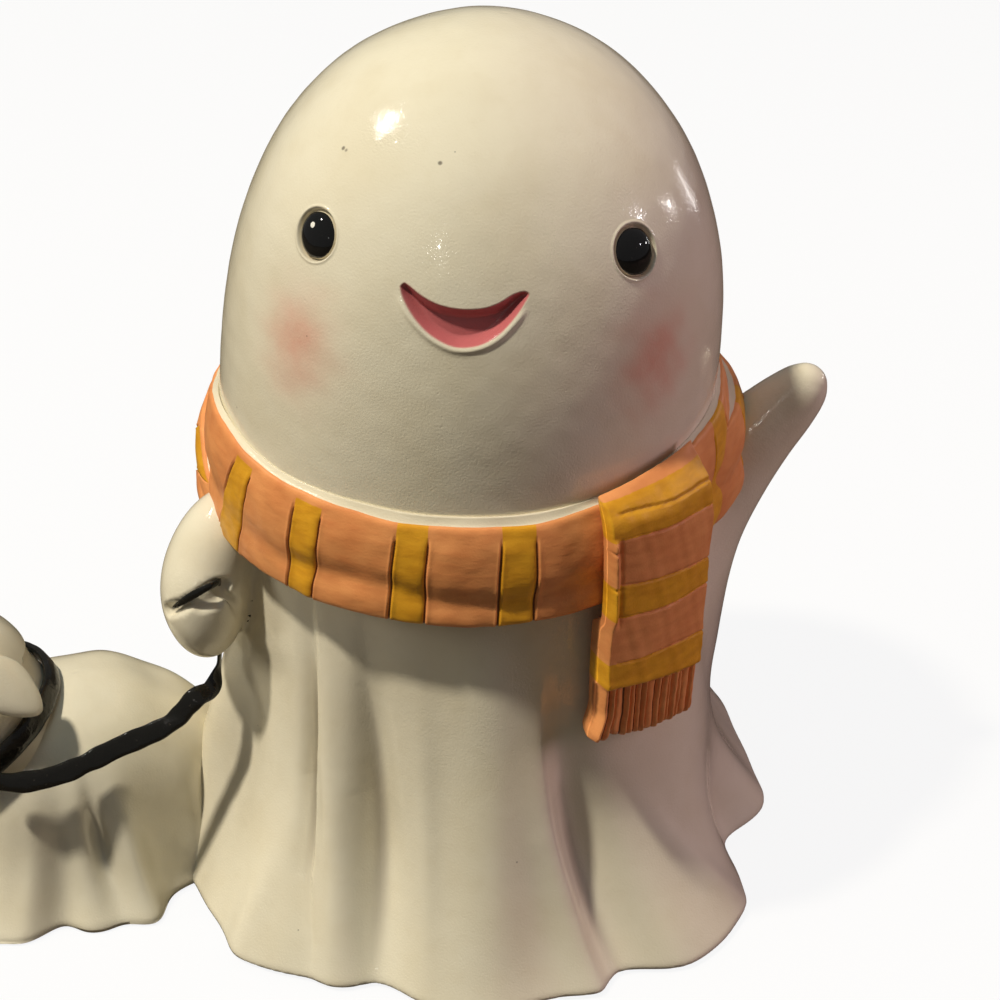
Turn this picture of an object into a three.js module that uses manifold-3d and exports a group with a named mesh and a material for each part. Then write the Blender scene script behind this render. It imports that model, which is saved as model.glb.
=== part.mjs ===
// Ghost figurine in a draped sheet and striped scarf, leading a small sheet-draped dog on a strap.
// Millimetres, +Z up, front towards -Y. The origin is on the ground under the ghost's axis.

import * as THREE from 'three';
import { mergeVertices } from 'three/addons/utils/BufferGeometryUtils.js';
import Module from 'manifold-3d';

const wasm = await Module();
wasm.setup();

// General sizes
const GAP = 0.3;
const POINT_MERGE = 1e-4;
const RADIANS = Math.PI / 180;

// Head: a tall dome, leaning a little to the viewer's right
const HEAD_RADIUS = 82.1;
const HEAD_RISE = 134.5;
const HEAD_SIDE_POWER = 1.075;
const HEAD_RISE_POWER = 0.668;
const HEAD_WALL = 7;
const HEAD_LEAN = 5.75;
const HEAD_OFFSET_X = -4.1;
const HEAD_STEPS = 56;
const HEAD_ROWS = 12;
const HEAD_INNER_STEPS = 28;
const HEAD_INNER_ROWS = 6;

// Neck joint, under the scarf
const NECK_LINE_Z = 165.5;
const NECK_SEAT_Z = NECK_LINE_Z - 14.5;
const SPIGOT_LENGTH = 10;
const SPIGOT_WALL = 4;
const SPIGOT_FLANGE = 5;
const HEAD_SKIRT = NECK_LINE_Z - NECK_SEAT_Z + HEAD_RADIUS * Math.sin(HEAD_LEAN * RADIANS) + 2;

// Face, placed by azimuth and height on the dome
const EYE_LEFT = { azimuth: -42.4, height: 79 };
const EYE_RIGHT = { azimuth: 36.9, height: 84 };
const EYE_HALF_WIDTH = 6.1;
const EYE_HALF_HEIGHT = 6.7;
const EYE_HALF_DEPTH = 3.4;
const EYE_SUNK = 2;
const EYE_ROLL = 8;
const SOCKET_RIM = 2.6;
const MOUTH = { azimuth: -4.5, height: 74 };
const MOUTH_HALF_WIDTH = 17.3;
const MOUTH_UPPER_DROP = 5.1;
const MOUTH_LOWER_DROP = 16.3;
const MOUTH_DEPTH = 5;
const MOUTH_ROLL = -3;
const MOUTH_CURVE_STEPS = 7;

// Draped sheet round the body
const NECK_STEP = 6.1;
const NECK_RADIUS = HEAD_RADIUS - NECK_STEP;
const HEM_FLARE = 36;
const FLARE_HEIGHT = 50;
const BODY_WALL = 6;
const HEM_LIFT = 1;
const BODY_STEPS = 80;
const BODY_ROWS = 11;
const BODY_INNER_ROWS = 4;
const ROW_SPREAD = 1.3;
// Each fold: azimuth at the hem, turn over 100 mm of height, half width in degrees, height out of
// the sheet, the level where it is fullest and the reach over which it fades.
const FOLDS = [
  { azimuth: -78, lean: 4, width: 13, out: 12, level: 35, reach: 75 },
  { azimuth: -44, lean: -3, width: 15, out: 10.5, level: 0, reach: 36 },
  { azimuth: -36, lean: -5, width: 4.5, out: -6, level: 60, reach: 45 },
  { azimuth: -22, lean: -3, width: 7, out: -6, level: 48, reach: 45 },
  { azimuth: -10, lean: -3, width: 7, out: 4, level: 55, reach: 60 },
  { azimuth: -5, lean: 0, width: 14, out: -6, level: 0, reach: 30 },
  { azimuth: 17, lean: -3, width: 4.5, out: 5, level: 30, reach: 55 },
  { azimuth: 24, lean: -3, width: 5, out: -8, level: 35, reach: 50 },
  { azimuth: 44, lean: -6, width: 15, out: 7.5, level: 0, reach: 40 },
  { azimuth: 72, lean: 0, width: 9.5, out: -14, level: 3, reach: 34 },
  { azimuth: 101, lean: 0, width: 18, out: -8, level: 42, reach: 38 },
  { azimuth: 124, lean: 3, width: 12, out: 6, level: 0, reach: 70 },
  { azimuth: 140, lean: 3, width: 8, out: -5, level: 10, reach: 70 },
  { azimuth: 160, lean: 2, width: 11, out: 7, level: 0, reach: 70 },
  { azimuth: 180, lean: 0, width: 8, out: -5, level: 10, reach: 70 },
  { azimuth: 200, lean: -2, width: 11, out: 8, level: 0, reach: 70 },
  { azimuth: 222, lean: -3, width: 9, out: -6, level: 10, reach: 70 },
  { azimuth: 244, lean: -3, width: 12, out: 8, level: 0, reach: 70 },
];

// Raised arm: its stops are measured from the point where its middle leaves the sheet
const ARM_ROOT = [NECK_RADIUS - 4, 8, NECK_LINE_Z - 40.5];
const ARM_STOPS = [
  { at: [-26, 1, -37], across: 44, deep: 30 },
  { at: [-13, 0, -17], across: 34, deep: 28 },
  { at: [0, 0, 0], across: 25, deep: 23 },
  { at: [13, -1, 16], across: 18.4, deep: 17.5 },
  { at: [24, -2, 29], across: 13.9, deep: 13.2 },
  { at: [32.8, -2, 39], across: 11.5, deep: 10.3 },
  { at: [38, -2.5, 46], across: 9.4, deep: 8.4 },
  { at: [40.3, -3, 51], across: 5.6, deep: 5.2 },
  { at: [41.4, -3, 53], across: 1.5, deep: 1.5 },
];
const ARM_PEG = { drop: 6, from: -9, along: [1, 0, 0], radius: 6, length: 22 };

// Arm with the mitt that holds the strap, measured in the same way
const MITT_ROOT = [-NECK_RADIUS, -22, NECK_LINE_Z - 27.5];
const MITT_STOPS = [
  { at: [10, 6, -1], across: 10, deep: 10 },
  { at: [0, 0, 0], across: 12, deep: 12 },
  { at: [-8, -6, -4], across: 13.5, deep: 14 },
  { at: [-13.5, -11, -14], across: 14.4, deep: 16 },
  { at: [-15, -14, -25], across: 14.4, deep: 16.5 },
  { at: [-15, -15, -34], across: 13.3, deep: 15.5 },
  { at: [-14.5, -15, -41], across: 10.5, deep: 12 },
  { at: [-14, -15, -45.5], across: 5, deep: 6 },
];
const MITT_PEG = { drop: 10, from: -11, along: [-1, -0.3, 0], radius: 5, length: 20 };
const LIMB_STEPS = 16;

// Strap: the stops in the hand are measured from the mitt's root, those on the dog from its centre
const STRAP_WIDTH = 7.5;
const STRAP_THICKNESS = 3;
const STRAP_SPACING = 5.5;
const STRAP_SIDES = 8;
const STRAP_IN_HAND = [
  { at: [-23.5, -26.5, -20], face: [-0.5, -0.8, 0.2] },
  { at: [-16.5, -30, -14.5], face: [-0.1, -1, 0.2] },
  { at: [-10, -28.5, -11], face: [0.3, -0.9, 0.2] },
  { at: [-5.5, -21, -16], face: [1, -0.2, 0.1] },
  { at: [-7.5, -14.5, -32], face: [1, -0.1, 0.1] },
  { at: [-11, -14.5, -46.5], face: [1, -0.2, 0.2] },
  { at: [-13.5, -20.5, -54], face: [0.3, -0.6, 0.8] },
];
const STRAP_ON_DOG = [
  { at: [34.6, -39.8, 79.5], face: [-0.2, -0.7, 0.7] },
  { at: [25.1, -39.3, 71], face: [-0.2, -0.8, 0.6] },
  { at: [6.7, -39.4, 66], face: [-0.1, -0.8, 0.55] },
  { at: [-13.1, -40.6, 61.5], face: [-0.1, -0.85, 0.5] },
  { at: [-26.5, -38.9, 60.5], face: [-0.2, -0.9, 0.4] },
  { at: [-37, -35.7, 62], face: [-0.5, -0.95, 0.3] },
];

// Scarf, standing off the head above and the sheet below
const SCARF_CENTRE_X = -3;
const SCARF_THICKNESS = 6;
const SCARF_TOP_Z = NECK_LINE_Z + 4;
const SCARF_BOTTOM_Z = NECK_LINE_Z - 30.5;
const SCARF_TOP_RADIUS = HEAD_RADIUS + 2.7;
const SCARF_BOTTOM_RADIUS = NECK_RADIUS + 12.8;
const SCARF_CROWN = 1.2;
const SCARF_EDGE = 0.06;
const SCARF_SIDE_LIFT = 11;
const SCARF_BOTTOM_LIFT = 7;
const SCARF_LEAN = 5;
const SCARF_STEPS = 60;
const BACK_WRAP = {
  from: 66,
  to: 282,
  taper: 26,
  steps: 30,
  thickness: 4.8,
  flare: 2,
  drop: 8,
  leftDrop: 5,
  leftSwell: 1.6,
  tuck: 1,
};
const TAIL = {
  from: 26,
  to: 53,
  rise: 4.5,
  lean: 3,
  drop: 22,
  thickness: 7,
  belly: 0.5,
  fold: 7,
  drape: 4,
  fringe: 26,
};
const FRINGE_STRANDS = 14;
const FRINGE_GROOVE = 1.4;

// Dog under its own sheet, built round its own centre with the head towards -X
const DOG_CENTRE = [-NECK_RADIUS - HEM_FLARE - 30, -22];
const DOG_TURN = 22;
const DOG_HALF_LENGTH = 50;
const DOG_HALF_WIDTH = 37;
const DOG_HEIGHT = 73;
const DOG_SHOULDER_Z = 34;
const DOG_DOME_POWER = 2.3;
const DOG_FLARE = 20;
const DOG_FLARE_HEIGHT = 22;
const DOG_FOLD_HEIGHT = 30;
const DOG_RUMP = { from: 8, to: 48, drop: 8 };
const DOG_WALL = 5;
const DOG_STEPS = 48;
const DOG_ROWS = 9;
const DOG_INNER_ROWS = 3;
const DOG_FOLDS = [
  { azimuth: 2, width: 10, out: 2 },
  { azimuth: 28, width: 22, out: -9 },
  { azimuth: -18, width: 10, out: -5 },
  { azimuth: -45, width: 12, out: 4 },
  { azimuth: -85, width: 13, out: -4 },
  { azimuth: -120, width: 12, out: 5 },
  { azimuth: 180, width: 14, out: -5 },
  { azimuth: 150, width: 12, out: 6 },
];
const DOG_NECK = {
  at: [23 - DOG_HALF_LENGTH, 0, DOG_HEIGHT - 24],
  along: [-0.48, 0, 0.88],
  look: [-0.86, -0.5, 0],
};
const DOG_HEAD_RADIUS = 30;
const DOG_NECK_RADIUS = 28;
const DOG_HEAD_LENGTH = 62;
const DOG_HEAD_POWER = 2.2;
const DOG_HEAD_STEPS = 28;
const DOG_HEAD_ROWS = 10;
const DOG_HEAD_INNER_ROWS = 4;
const MUZZLE = { out: DOG_HEAD_RADIUS - 15, up: 33, radius: 16, reach: 25, depth: 12 };
const COLLAR = { up: 12, height: 8, thickness: 3, looseness: 0.6, edge: 1 };
const DOG_BROW_SLOPE = 0.35;
const DOG_EYE = { azimuth: 36, up: 45, radius: 3.4, sunk: 1.2 };
const DOG_NOSE = { radius: 4, depth: 3, sunk: 1.6, lift: 3 };
const DOG_EAR = { azimuth: 96, up: 46, length: 30, width: 17, thickness: 7, hang: 11, stand: 2.8 };

// Closing plates and felts
const PLATE_THICKNESS = 4;
const FELT_THICKNESS = 1.2;
const FELT_RADIUS = 72;
const DOG_FELT_RADIUS = 21;
const FELT_STEPS = 36;
const BEAD_STEPS = 14;

// Finishes
function finish(color, roughness, metalness = 0) {
  return new THREE.MeshStandardMaterial({ color, roughness, metalness });
}
const GLAZED_WHITE = 0xe9e2cd;
const SCARF_ORANGE = 0xd98d4e;
const STRAP_BLACK = 0x22201c;
const EYE_BLACK = 0x17171a;
const FELT_GREY = 0x77736b;

// Solids: a closed geometry becomes a form that can be joined and cut
function solidFrom(geometry, matrix = new THREE.Matrix4()) {
  const bare = geometry.clone();
  bare.deleteAttribute('normal');
  bare.deleteAttribute('uv');
  bare.applyMatrix4(matrix);
  const merged = mergeVertices(bare, POINT_MERGE);
  const index = merged.index.array;
  const kept = [];
  for (let i = 0; i < index.length; i += 3) {
    const [a, b, c] = [index[i], index[i + 1], index[i + 2]];
    if (a !== b && b !== c && c !== a) kept.push(a, b, c);
  }
  const position = merged.attributes.position;
  if (signedVolume(position, kept) < 0) kept.reverse();
  return new wasm.Manifold(new wasm.Mesh({
    numProp: 3,
    vertProperties: new Float32Array(position.array),
    triVerts: new Uint32Array(kept),
  }));
}

function signedVolume(position, index) {
  const a = new THREE.Vector3();
  const b = new THREE.Vector3();
  const c = new THREE.Vector3();
  let volume = 0;
  for (let i = 0; i < index.length; i += 3) {
    a.fromBufferAttribute(position, index[i]);
    b.fromBufferAttribute(position, index[i + 1]);
    c.fromBufferAttribute(position, index[i + 2]);
    volume += a.dot(b.cross(c)) / 6;
  }
  return volume;
}

function geometryFrom(solid) {
  const mesh = solid.getMesh();
  const geometry = new THREE.BufferGeometry();
  geometry.setAttribute('position', new THREE.BufferAttribute(mesh.vertProperties, 3));
  geometry.setIndex(new THREE.BufferAttribute(mesh.triVerts, 1));
  return geometry;
}

function cut(solid, ...cutters) {
  return cutters.reduce((left, cutter) => left.subtract(cutter), solid);
}

function smoothStep(value, from, to) {
  const t = Math.min(1, Math.max(0, (value - from) / (to - from)));
  return t * t * (3 - 2 * t);
}

// Shortest turn in degrees from one azimuth to another
function turnBetween(from, to) {
  return ((to - from + 540) % 360) - 180;
}

function range(count) {
  return Array.from({ length: count }, (_, i) => i);
}

// A (radius, height) profile turned round Z; azimuth 0 faces -Y and 90 faces +X
function turned(profile, steps, reshape) {
  const points = profile.map(([radius, height]) => new THREE.Vector2(radius, height));
  const geometry = new THREE.LatheGeometry(points, steps);
  geometry.rotateX(Math.PI / 2);
  if (!reshape) return geometry;
  const position = geometry.attributes.position;
  const point = new THREE.Vector3();
  for (let i = 0; i < position.count; i += 1) {
    point.fromBufferAttribute(position, i);
    const row = i % profile.length;
    const azimuth = (Math.floor(i / profile.length) / steps) * 360;
    reshape(point, azimuth, row);
    position.setXYZ(i, point.x, point.y, point.z);
  }
  return geometry;
}

// Rows of points joined side by side; the two ends are closed by fans, or the rows form a ring
function lofted(rows, ring = false) {
  const width = rows[0].length;
  const positions = rows.flat().flatMap((p) => [p.x, p.y, p.z]);
  const index = [];
  const last = ring ? rows.length : rows.length - 1;
  for (let i = 0; i < last; i += 1) {
    const next = (i + 1) % rows.length;
    for (let j = 0; j < width; j += 1) {
      const k = (j + 1) % width;
      index.push(i * width + j, i * width + k, next * width + k);
      index.push(i * width + j, next * width + k, next * width + j);
    }
  }
  if (!ring) {
    [0, rows.length - 1].forEach((end) => {
      const centre = rows[end].reduce((sum, p) => sum.add(p), new THREE.Vector3());
      centre.divideScalar(width);
      const tip = positions.length / 3;
      positions.push(centre.x, centre.y, centre.z);
      for (let j = 0; j < width; j += 1) {
        const here = end * width + j;
        const there = end * width + ((j + 1) % width);
        if (end === 0) index.push(there, here, tip);
        else index.push(here, there, tip);
      }
    });
  }
  const geometry = new THREE.BufferGeometry();
  geometry.setAttribute('position', new THREE.Float32BufferAttribute(positions, 3));
  geometry.setIndex(index);
  return geometry;
}

function polar(radius, azimuth, z, centreX = 0, centreY = 0) {
  const angle = azimuth * RADIANS;
  return new THREE.Vector3(
    centreX + radius * Math.sin(angle),
    centreY - radius * Math.cos(angle),
    z,
  );
}

// Head
const headMatrix = new THREE.Matrix4().makeRotationY(HEAD_LEAN * RADIANS);
headMatrix.setPosition(HEAD_OFFSET_X, 0, NECK_LINE_Z);

function domeProfile(offset, rows) {
  const radius = HEAD_RADIUS + offset;
  const rise = HEAD_RISE + offset;
  const profile = [[0, -HEAD_SKIRT], [radius, -HEAD_SKIRT]];
  for (let i = 0; i <= rows; i += 1) {
    const angle = (i / rows) * (Math.PI / 2);
    const side = i === rows ? 0 : Math.cos(angle) ** HEAD_SIDE_POWER;
    profile.push([radius * side, rise * Math.sin(angle) ** HEAD_RISE_POWER]);
  }
  return profile;
}

function headSolid(offset) {
  return solidFrom(turned(domeProfile(offset, HEAD_ROWS), HEAD_STEPS), headMatrix);
}

function headHollow() {
  return solidFrom(turned(domeProfile(-HEAD_WALL, HEAD_INNER_ROWS), HEAD_INNER_STEPS), headMatrix);
}

// Point on the dome and the frame that stands on it: x to the right, y up the dome, z outwards
function faceFrame({ azimuth, height }, roll, depth) {
  const sine = (height / HEAD_RISE) ** (1 / HEAD_RISE_POWER);
  const angle = Math.asin(sine);
  const radius = HEAD_RADIUS * Math.cos(angle) ** HEAD_SIDE_POWER;
  const inward = HEAD_RADIUS * HEAD_SIDE_POWER * Math.sin(angle) * Math.cos(angle) ** (HEAD_SIDE_POWER - 1);
  const upward = HEAD_RISE * HEAD_RISE_POWER * Math.cos(angle) * Math.sin(angle) ** (HEAD_RISE_POWER - 1);
  const outwards = polar(upward, azimuth, inward).normalize();
  const right = polar(1, azimuth + 90, 0);
  const up = new THREE.Vector3().crossVectors(outwards, right);
  const place = polar(radius, azimuth, height).addScaledVector(outwards, -depth);
  const frame = new THREE.Matrix4().makeBasis(right, up, outwards).setPosition(place);
  frame.multiply(new THREE.Matrix4().makeRotationZ(roll * RADIANS));
  return new THREE.Matrix4().multiplyMatrices(headMatrix, frame);
}

function beadGeometry(halfWidth, halfHeight, halfDepth) {
  const bead = new THREE.SphereGeometry(1, BEAD_STEPS, BEAD_STEPS / 2);
  bead.scale(halfWidth, halfHeight, halfDepth);
  return bead;
}

function eyeSocket(place, roll) {
  const hollow = beadGeometry(EYE_HALF_WIDTH + SOCKET_RIM, EYE_HALF_HEIGHT + SOCKET_RIM, EYE_HALF_DEPTH + GAP);
  return solidFrom(hollow, faceFrame(place, roll, EYE_SUNK));
}

function mouthPocket() {
  const smile = new THREE.Shape();
  smile.moveTo(-MOUTH_HALF_WIDTH, 0);
  smile.absellipse(0, 0, MOUTH_HALF_WIDTH, MOUTH_LOWER_DROP, Math.PI, 2 * Math.PI, false);
  smile.quadraticCurveTo(0, -2 * MOUTH_UPPER_DROP, -MOUTH_HALF_WIDTH, 0);
  const pocket = new THREE.ExtrudeGeometry(smile, {
    depth: 3 * MOUTH_DEPTH,
    bevelEnabled: false,
    curveSegments: MOUTH_CURVE_STEPS,
  });
  return solidFrom(pocket, faceFrame(MOUTH, MOUTH_ROLL, MOUTH_DEPTH));
}

// Sheet round the body
function sheetRadius(azimuth, z) {
  let radius = NECK_RADIUS + HEM_FLARE * Math.exp(-z / FLARE_HEIGHT);
  for (const fold of FOLDS) {
    const centre = fold.azimuth + (fold.lean * z) / 100;
    const across = turnBetween(centre, azimuth) / fold.width;
    const along = (z - fold.level) / fold.reach;
    radius += fold.out * Math.exp(-across * across - along * along);
  }
  return radius;
}

// Heights from the hem to the top, closer together near the hem
function levels(low, high, rows) {
  return range(rows + 1).map((i) => low + (high - low) * (i / rows) ** ROW_SPREAD);
}

function bodySolid(offset, wall) {
  const outer = levels(HEM_LIFT, NECK_SEAT_Z, BODY_ROWS).map((z) => [1, z, offset]);
  const inner = levels(HEM_LIFT, NECK_SEAT_Z, BODY_INNER_ROWS).map((z) => [1, z, -wall]).reverse();
  const middle = [[0, NECK_SEAT_Z, 0], [0, HEM_LIFT, 0]];
  const rows = [...outer, ...(wall ? inner : middle), outer[0]];
  const reshape = (point, azimuth, row) => {
    const [unit, z, thick] = rows[row];
    if (unit) point.copy(polar(sheetRadius(azimuth, z) + thick, azimuth, z));
  };
  return solidFrom(turned(rows, BODY_STEPS, reshape));
}

function neckBore() {
  const radii = range(BODY_STEPS).map((i) => sheetRadius((i / BODY_STEPS) * 360, NECK_SEAT_Z));
  return (Math.min(...radii) - BODY_WALL) * Math.cos(Math.PI / BODY_STEPS);
}

// Limbs: oval sections across a smooth path
function limb(root, stops) {
  const centres = stops.map(({ at }) => new THREE.Vector3(...root).add(new THREE.Vector3(...at)));
  const curve = new THREE.CatmullRomCurve3(centres);
  const rows = stops.map(({ across, deep }, i) => {
    const tangent = curve.getTangent(i / (stops.length - 1));
    const back = new THREE.Vector3(0, 1, 0);
    back.addScaledVector(tangent, -back.dot(tangent)).normalize();
    const side = new THREE.Vector3().crossVectors(back, tangent);
    return range(LIMB_STEPS).map((j) => {
      const angle = (j / LIMB_STEPS) * 2 * Math.PI;
      return centres[i].clone()
        .addScaledVector(side, across * Math.cos(angle))
        .addScaledVector(back, deep * Math.sin(angle));
    });
  });
  return solidFrom(lofted(rows));
}

// Peg that runs from inside the sheet's wall into the limb
function peg([x, y, z], { drop, from, along, radius, length }, clearance = 0) {
  const rod = new THREE.CylinderGeometry(radius + clearance, radius + clearance, length, LIMB_STEPS);
  rod.translate(0, from + length / 2, 0);
  const direction = new THREE.Vector3(...along).normalize();
  const turn = new THREE.Quaternion().setFromUnitVectors(new THREE.Vector3(0, 1, 0), direction);
  return solidFrom(rod, new THREE.Matrix4().makeRotationFromQuaternion(turn).setPosition(x, y, z - drop));
}

// Strap: a flat section with round corners that keeps its face to what it lies on
function strapStops() {
  const inHand = STRAP_IN_HAND.map(({ at, face }) => ({
    at: new THREE.Vector3(...at).add(new THREE.Vector3(...MITT_ROOT)),
    face: new THREE.Vector3(...face),
  }));
  const onDog = STRAP_ON_DOG.map(({ at, face }) => ({
    at: new THREE.Vector3(...at).applyMatrix4(dogMatrix),
    face: new THREE.Vector3(...face).transformDirection(dogMatrix),
  }));
  return [...inHand, ...onDog];
}

function strapSolid(clearance = 0) {
  const stops = strapStops();
  const centre = new THREE.CatmullRomCurve3(stops.map(({ at }) => at));
  const face = new THREE.CatmullRomCurve3(stops.map((stop) => stop.face));
  const steps = Math.round(centre.getLength() / STRAP_SPACING);
  const halfWidth = STRAP_WIDTH / 2 + clearance;
  const halfThickness = STRAP_THICKNESS / 2 + clearance;
  const rounded = (value) => Math.sign(value) * Math.sqrt(Math.abs(value));
  const rows = range(steps + 1).map((i) => {
    const t = centre.getUtoTmapping(i / steps);
    const tangent = centre.getTangent(t);
    const out = face.getPoint(t);
    out.addScaledVector(tangent, -out.dot(tangent)).normalize();
    const side = new THREE.Vector3().crossVectors(tangent, out);
    const middle = centre.getPoint(t);
    if (i === 0) middle.addScaledVector(tangent, -clearance);
    if (i === steps) middle.addScaledVector(tangent, clearance);
    return range(STRAP_SIDES).map((j) => {
      const angle = ((j + 0.5) / STRAP_SIDES) * 2 * Math.PI;
      return middle.clone()
        .addScaledVector(side, halfWidth * rounded(Math.cos(angle)))
        .addScaledVector(out, halfThickness * rounded(Math.sin(angle)));
    });
  });
  return solidFrom(lofted(rows));
}

// Scarf band: edges and radii at an azimuth
function bandAt(azimuth) {
  const turn = Math.abs(turnBetween(0, azimuth));
  const side = Math.sin(azimuth * RADIANS);
  const rise = smoothStep(turn, 30, 115);
  return {
    top: SCARF_TOP_Z + SCARF_SIDE_LIFT * rise + SCARF_LEAN * side,
    bottom: SCARF_BOTTOM_Z + SCARF_BOTTOM_LIFT * rise + SCARF_LEAN * side,
  };
}

// Closed (radius, height) section of a band: a crowned outside, round edges and a flat inside
function bandSection({ top, bottom }, topRadius, bottomRadius, thickness, crown, clearance = 0) {
  const low = bottom - clearance;
  const high = top + clearance;
  const at = (share, out) => {
    const grown = out > -0.5 * thickness ? clearance : -clearance;
    return [bottomRadius + (topRadius - bottomRadius) * share + out + grown, low + (high - low) * share];
  };
  return [
    at(0, -0.75 * thickness),
    at(0, -0.3 * thickness),
    at(SCARF_EDGE, 0),
    at(0.3, crown),
    at(0.7, crown),
    at(1 - SCARF_EDGE, 0),
    at(1, -0.3 * thickness),
    at(1, -0.75 * thickness),
    at(1 - SCARF_EDGE, -thickness),
    at(SCARF_EDGE, -thickness),
  ];
}

function neckWrap(clearance = 0) {
  const depth = 2 * SCARF_THICKNESS;
  const rows = range(SCARF_STEPS).map((i) => {
    const azimuth = (i / SCARF_STEPS) * 360;
    const edges = bandAt(azimuth);
    const section = bandSection(edges, SCARF_TOP_RADIUS, SCARF_BOTTOM_RADIUS, depth, SCARF_CROWN, clearance);
    return section.map(([radius, z]) => polar(radius, azimuth, z, SCARF_CENTRE_X));
  });
  return solidFrom(lofted(rows, true));
}

function backWrap(clearance = 0) {
  const rows = range(BACK_WRAP.steps + 1).map((i) => {
    const azimuth = BACK_WRAP.from + (BACK_WRAP.to - BACK_WRAP.from) * (i / BACK_WRAP.steps);
    const fromEnd = Math.min(azimuth - BACK_WRAP.from, BACK_WRAP.to - azimuth);
    const swell = Math.sin(Math.min(1, (fromEnd + 3) / BACK_WRAP.taper) * (Math.PI / 2));
    const band = bandAt(azimuth);
    const leftShare = smoothStep(azimuth, 180, 260);
    const leftDrop = BACK_WRAP.leftDrop * leftShare;
    const edges = { top: band.top - BACK_WRAP.drop - leftDrop, bottom: band.bottom - BACK_WRAP.tuck - 0.4 * leftDrop };
    const out = (BACK_WRAP.thickness + BACK_WRAP.leftSwell * leftShare) * swell;
    const section = bandSection(
      edges,
      SCARF_TOP_RADIUS + out,
      SCARF_BOTTOM_RADIUS + BACK_WRAP.flare * swell + out,
      BACK_WRAP.thickness + SCARF_THICKNESS,
      SCARF_CROWN,
      clearance,
    );
    return section.map(([radius, z]) => polar(radius, azimuth, z, SCARF_CENTRE_X));
  });
  return solidFrom(lofted(rows));
}

// Hanging end of the scarf with its row of fringe strands
function scarfTail() {
  const columns = 2 * FRINGE_STRANDS;
  const foot = SCARF_BOTTOM_Z - TAIL.drop;
  const rows = range(columns + 1).map((i) => {
    const share = i / columns;
    const azimuth = TAIL.from + (TAIL.to - TAIL.from) * share;
    const groove = i % 2 === 0 && i > 0 && i < columns ? FRINGE_GROOVE : 0;
    const tip = foot - TAIL.fringe + TAIL.drape * share + 2 * groove;
    const top = SCARF_TOP_Z + TAIL.rise + TAIL.lean * share;
    const inside = SCARF_BOTTOM_RADIUS + GAP;
    const outside = inside + TAIL.thickness;
    const section = [
      [inside + TAIL.drape - 1, tip + 1],
      [outside - groove - 1, tip],
      [outside - groove + TAIL.belly, foot - TAIL.fringe / 2],
      [outside - groove, foot - 2],
      [outside, foot + 1],
      [outside + TAIL.belly, (foot + top) / 2],
      [outside - 1, top - 10],
      [outside - 4, top - 2],
      [outside - TAIL.fold, top],
      [inside - TAIL.fold, top - 2],
      [inside - 5, SCARF_BOTTOM_Z],
      [inside - 1, SCARF_BOTTOM_Z - 8],
      [inside - 0.5, foot],
    ];
    return section.map(([radius, z]) => polar(radius, azimuth, z, SCARF_CENTRE_X));
  });
  return solidFrom(lofted(rows));
}

// Dog: built round its own centre, head towards -X, then turned and set beside the ghost
const dogMatrix = new THREE.Matrix4().makeRotationZ(DOG_TURN * RADIANS).setPosition(...DOG_CENTRE, 0);

function dogOval(azimuth, halfLength, halfWidth) {
  const angle = azimuth * RADIANS;
  return 1 / Math.hypot(Math.sin(angle) / halfLength, Math.cos(angle) / halfWidth);
}

function dogPoint(azimuth, z, offset) {
  const dome = Math.max(0, (z - DOG_SHOULDER_Z) / (DOG_HEIGHT - DOG_SHOULDER_Z));
  const narrowing = Math.sqrt(Math.max(0, 1 - dome ** DOG_DOME_POWER));
  const flare = DOG_FLARE * Math.exp(-z / DOG_FLARE_HEIGHT);
  let radius = dogOval(azimuth, DOG_HALF_LENGTH, DOG_HALF_WIDTH) * narrowing + flare;
  for (const fold of DOG_FOLDS) {
    const across = turnBetween(fold.azimuth, azimuth) / fold.width;
    radius += fold.out * Math.exp(-across * across - z / DOG_FOLD_HEIGHT);
  }
  const point = polar(Math.max(0, radius + offset * Math.min(1, narrowing + 0.1)), azimuth, z);
  const rump = 1 - (DOG_RUMP.drop / DOG_HEIGHT) * smoothStep(point.x, DOG_RUMP.from, DOG_RUMP.to);
  point.z = HEM_LIFT + (z + offset * dome - HEM_LIFT) * rump;
  return point;
}

// Heights that follow the dome's curve, from the hem to just under its crown
function domeLevels(low, high, rows) {
  return range(rows).map((i) => low + (high - low) * Math.sin((i / rows) * (Math.PI / 2)));
}

function dogBodySolid(offset, hollow) {
  const outer = domeLevels(HEM_LIFT, DOG_HEIGHT, DOG_ROWS).map((z) => [z, offset]);
  const inner = domeLevels(HEM_LIFT, DOG_HEIGHT - DOG_WALL, DOG_INNER_ROWS).map((z) => [z, -DOG_WALL]);
  const crown = [DOG_HEIGHT, offset];
  const ceiling = [DOG_HEIGHT - DOG_WALL, 0];
  const middle = hollow ? [ceiling, ...inner.reverse()] : [[HEM_LIFT, 0]];
  const rows = [...outer, crown, ...middle, outer[0]];
  const axisRows = [outer.length, outer.length + 1];
  const profile = rows.map(([z], row) => [axisRows.includes(row) ? 0 : 1, z]);
  const reshape = (point, azimuth, row) => {
    const [z, thick] = rows[row];
    if (axisRows.includes(row)) point.set(0, 0, z + thick);
    else point.copy(dogPoint(azimuth, z, thick));
  };
  return solidFrom(turned(profile, DOG_STEPS, reshape), dogMatrix);
}

// Dog's head, in a frame whose z runs up the neck and whose -y is the way it looks
const dogHeadMatrix = (() => {
  const up = new THREE.Vector3(...DOG_NECK.along).normalize();
  const look = new THREE.Vector3(...DOG_NECK.look);
  look.addScaledVector(up, -look.dot(up)).normalize();
  const side = new THREE.Vector3().crossVectors(look, up);
  const frame = new THREE.Matrix4().makeBasis(side, look.negate(), up).setPosition(...DOG_NECK.at);
  return new THREE.Matrix4().multiplyMatrices(dogMatrix, frame);
})();

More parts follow.
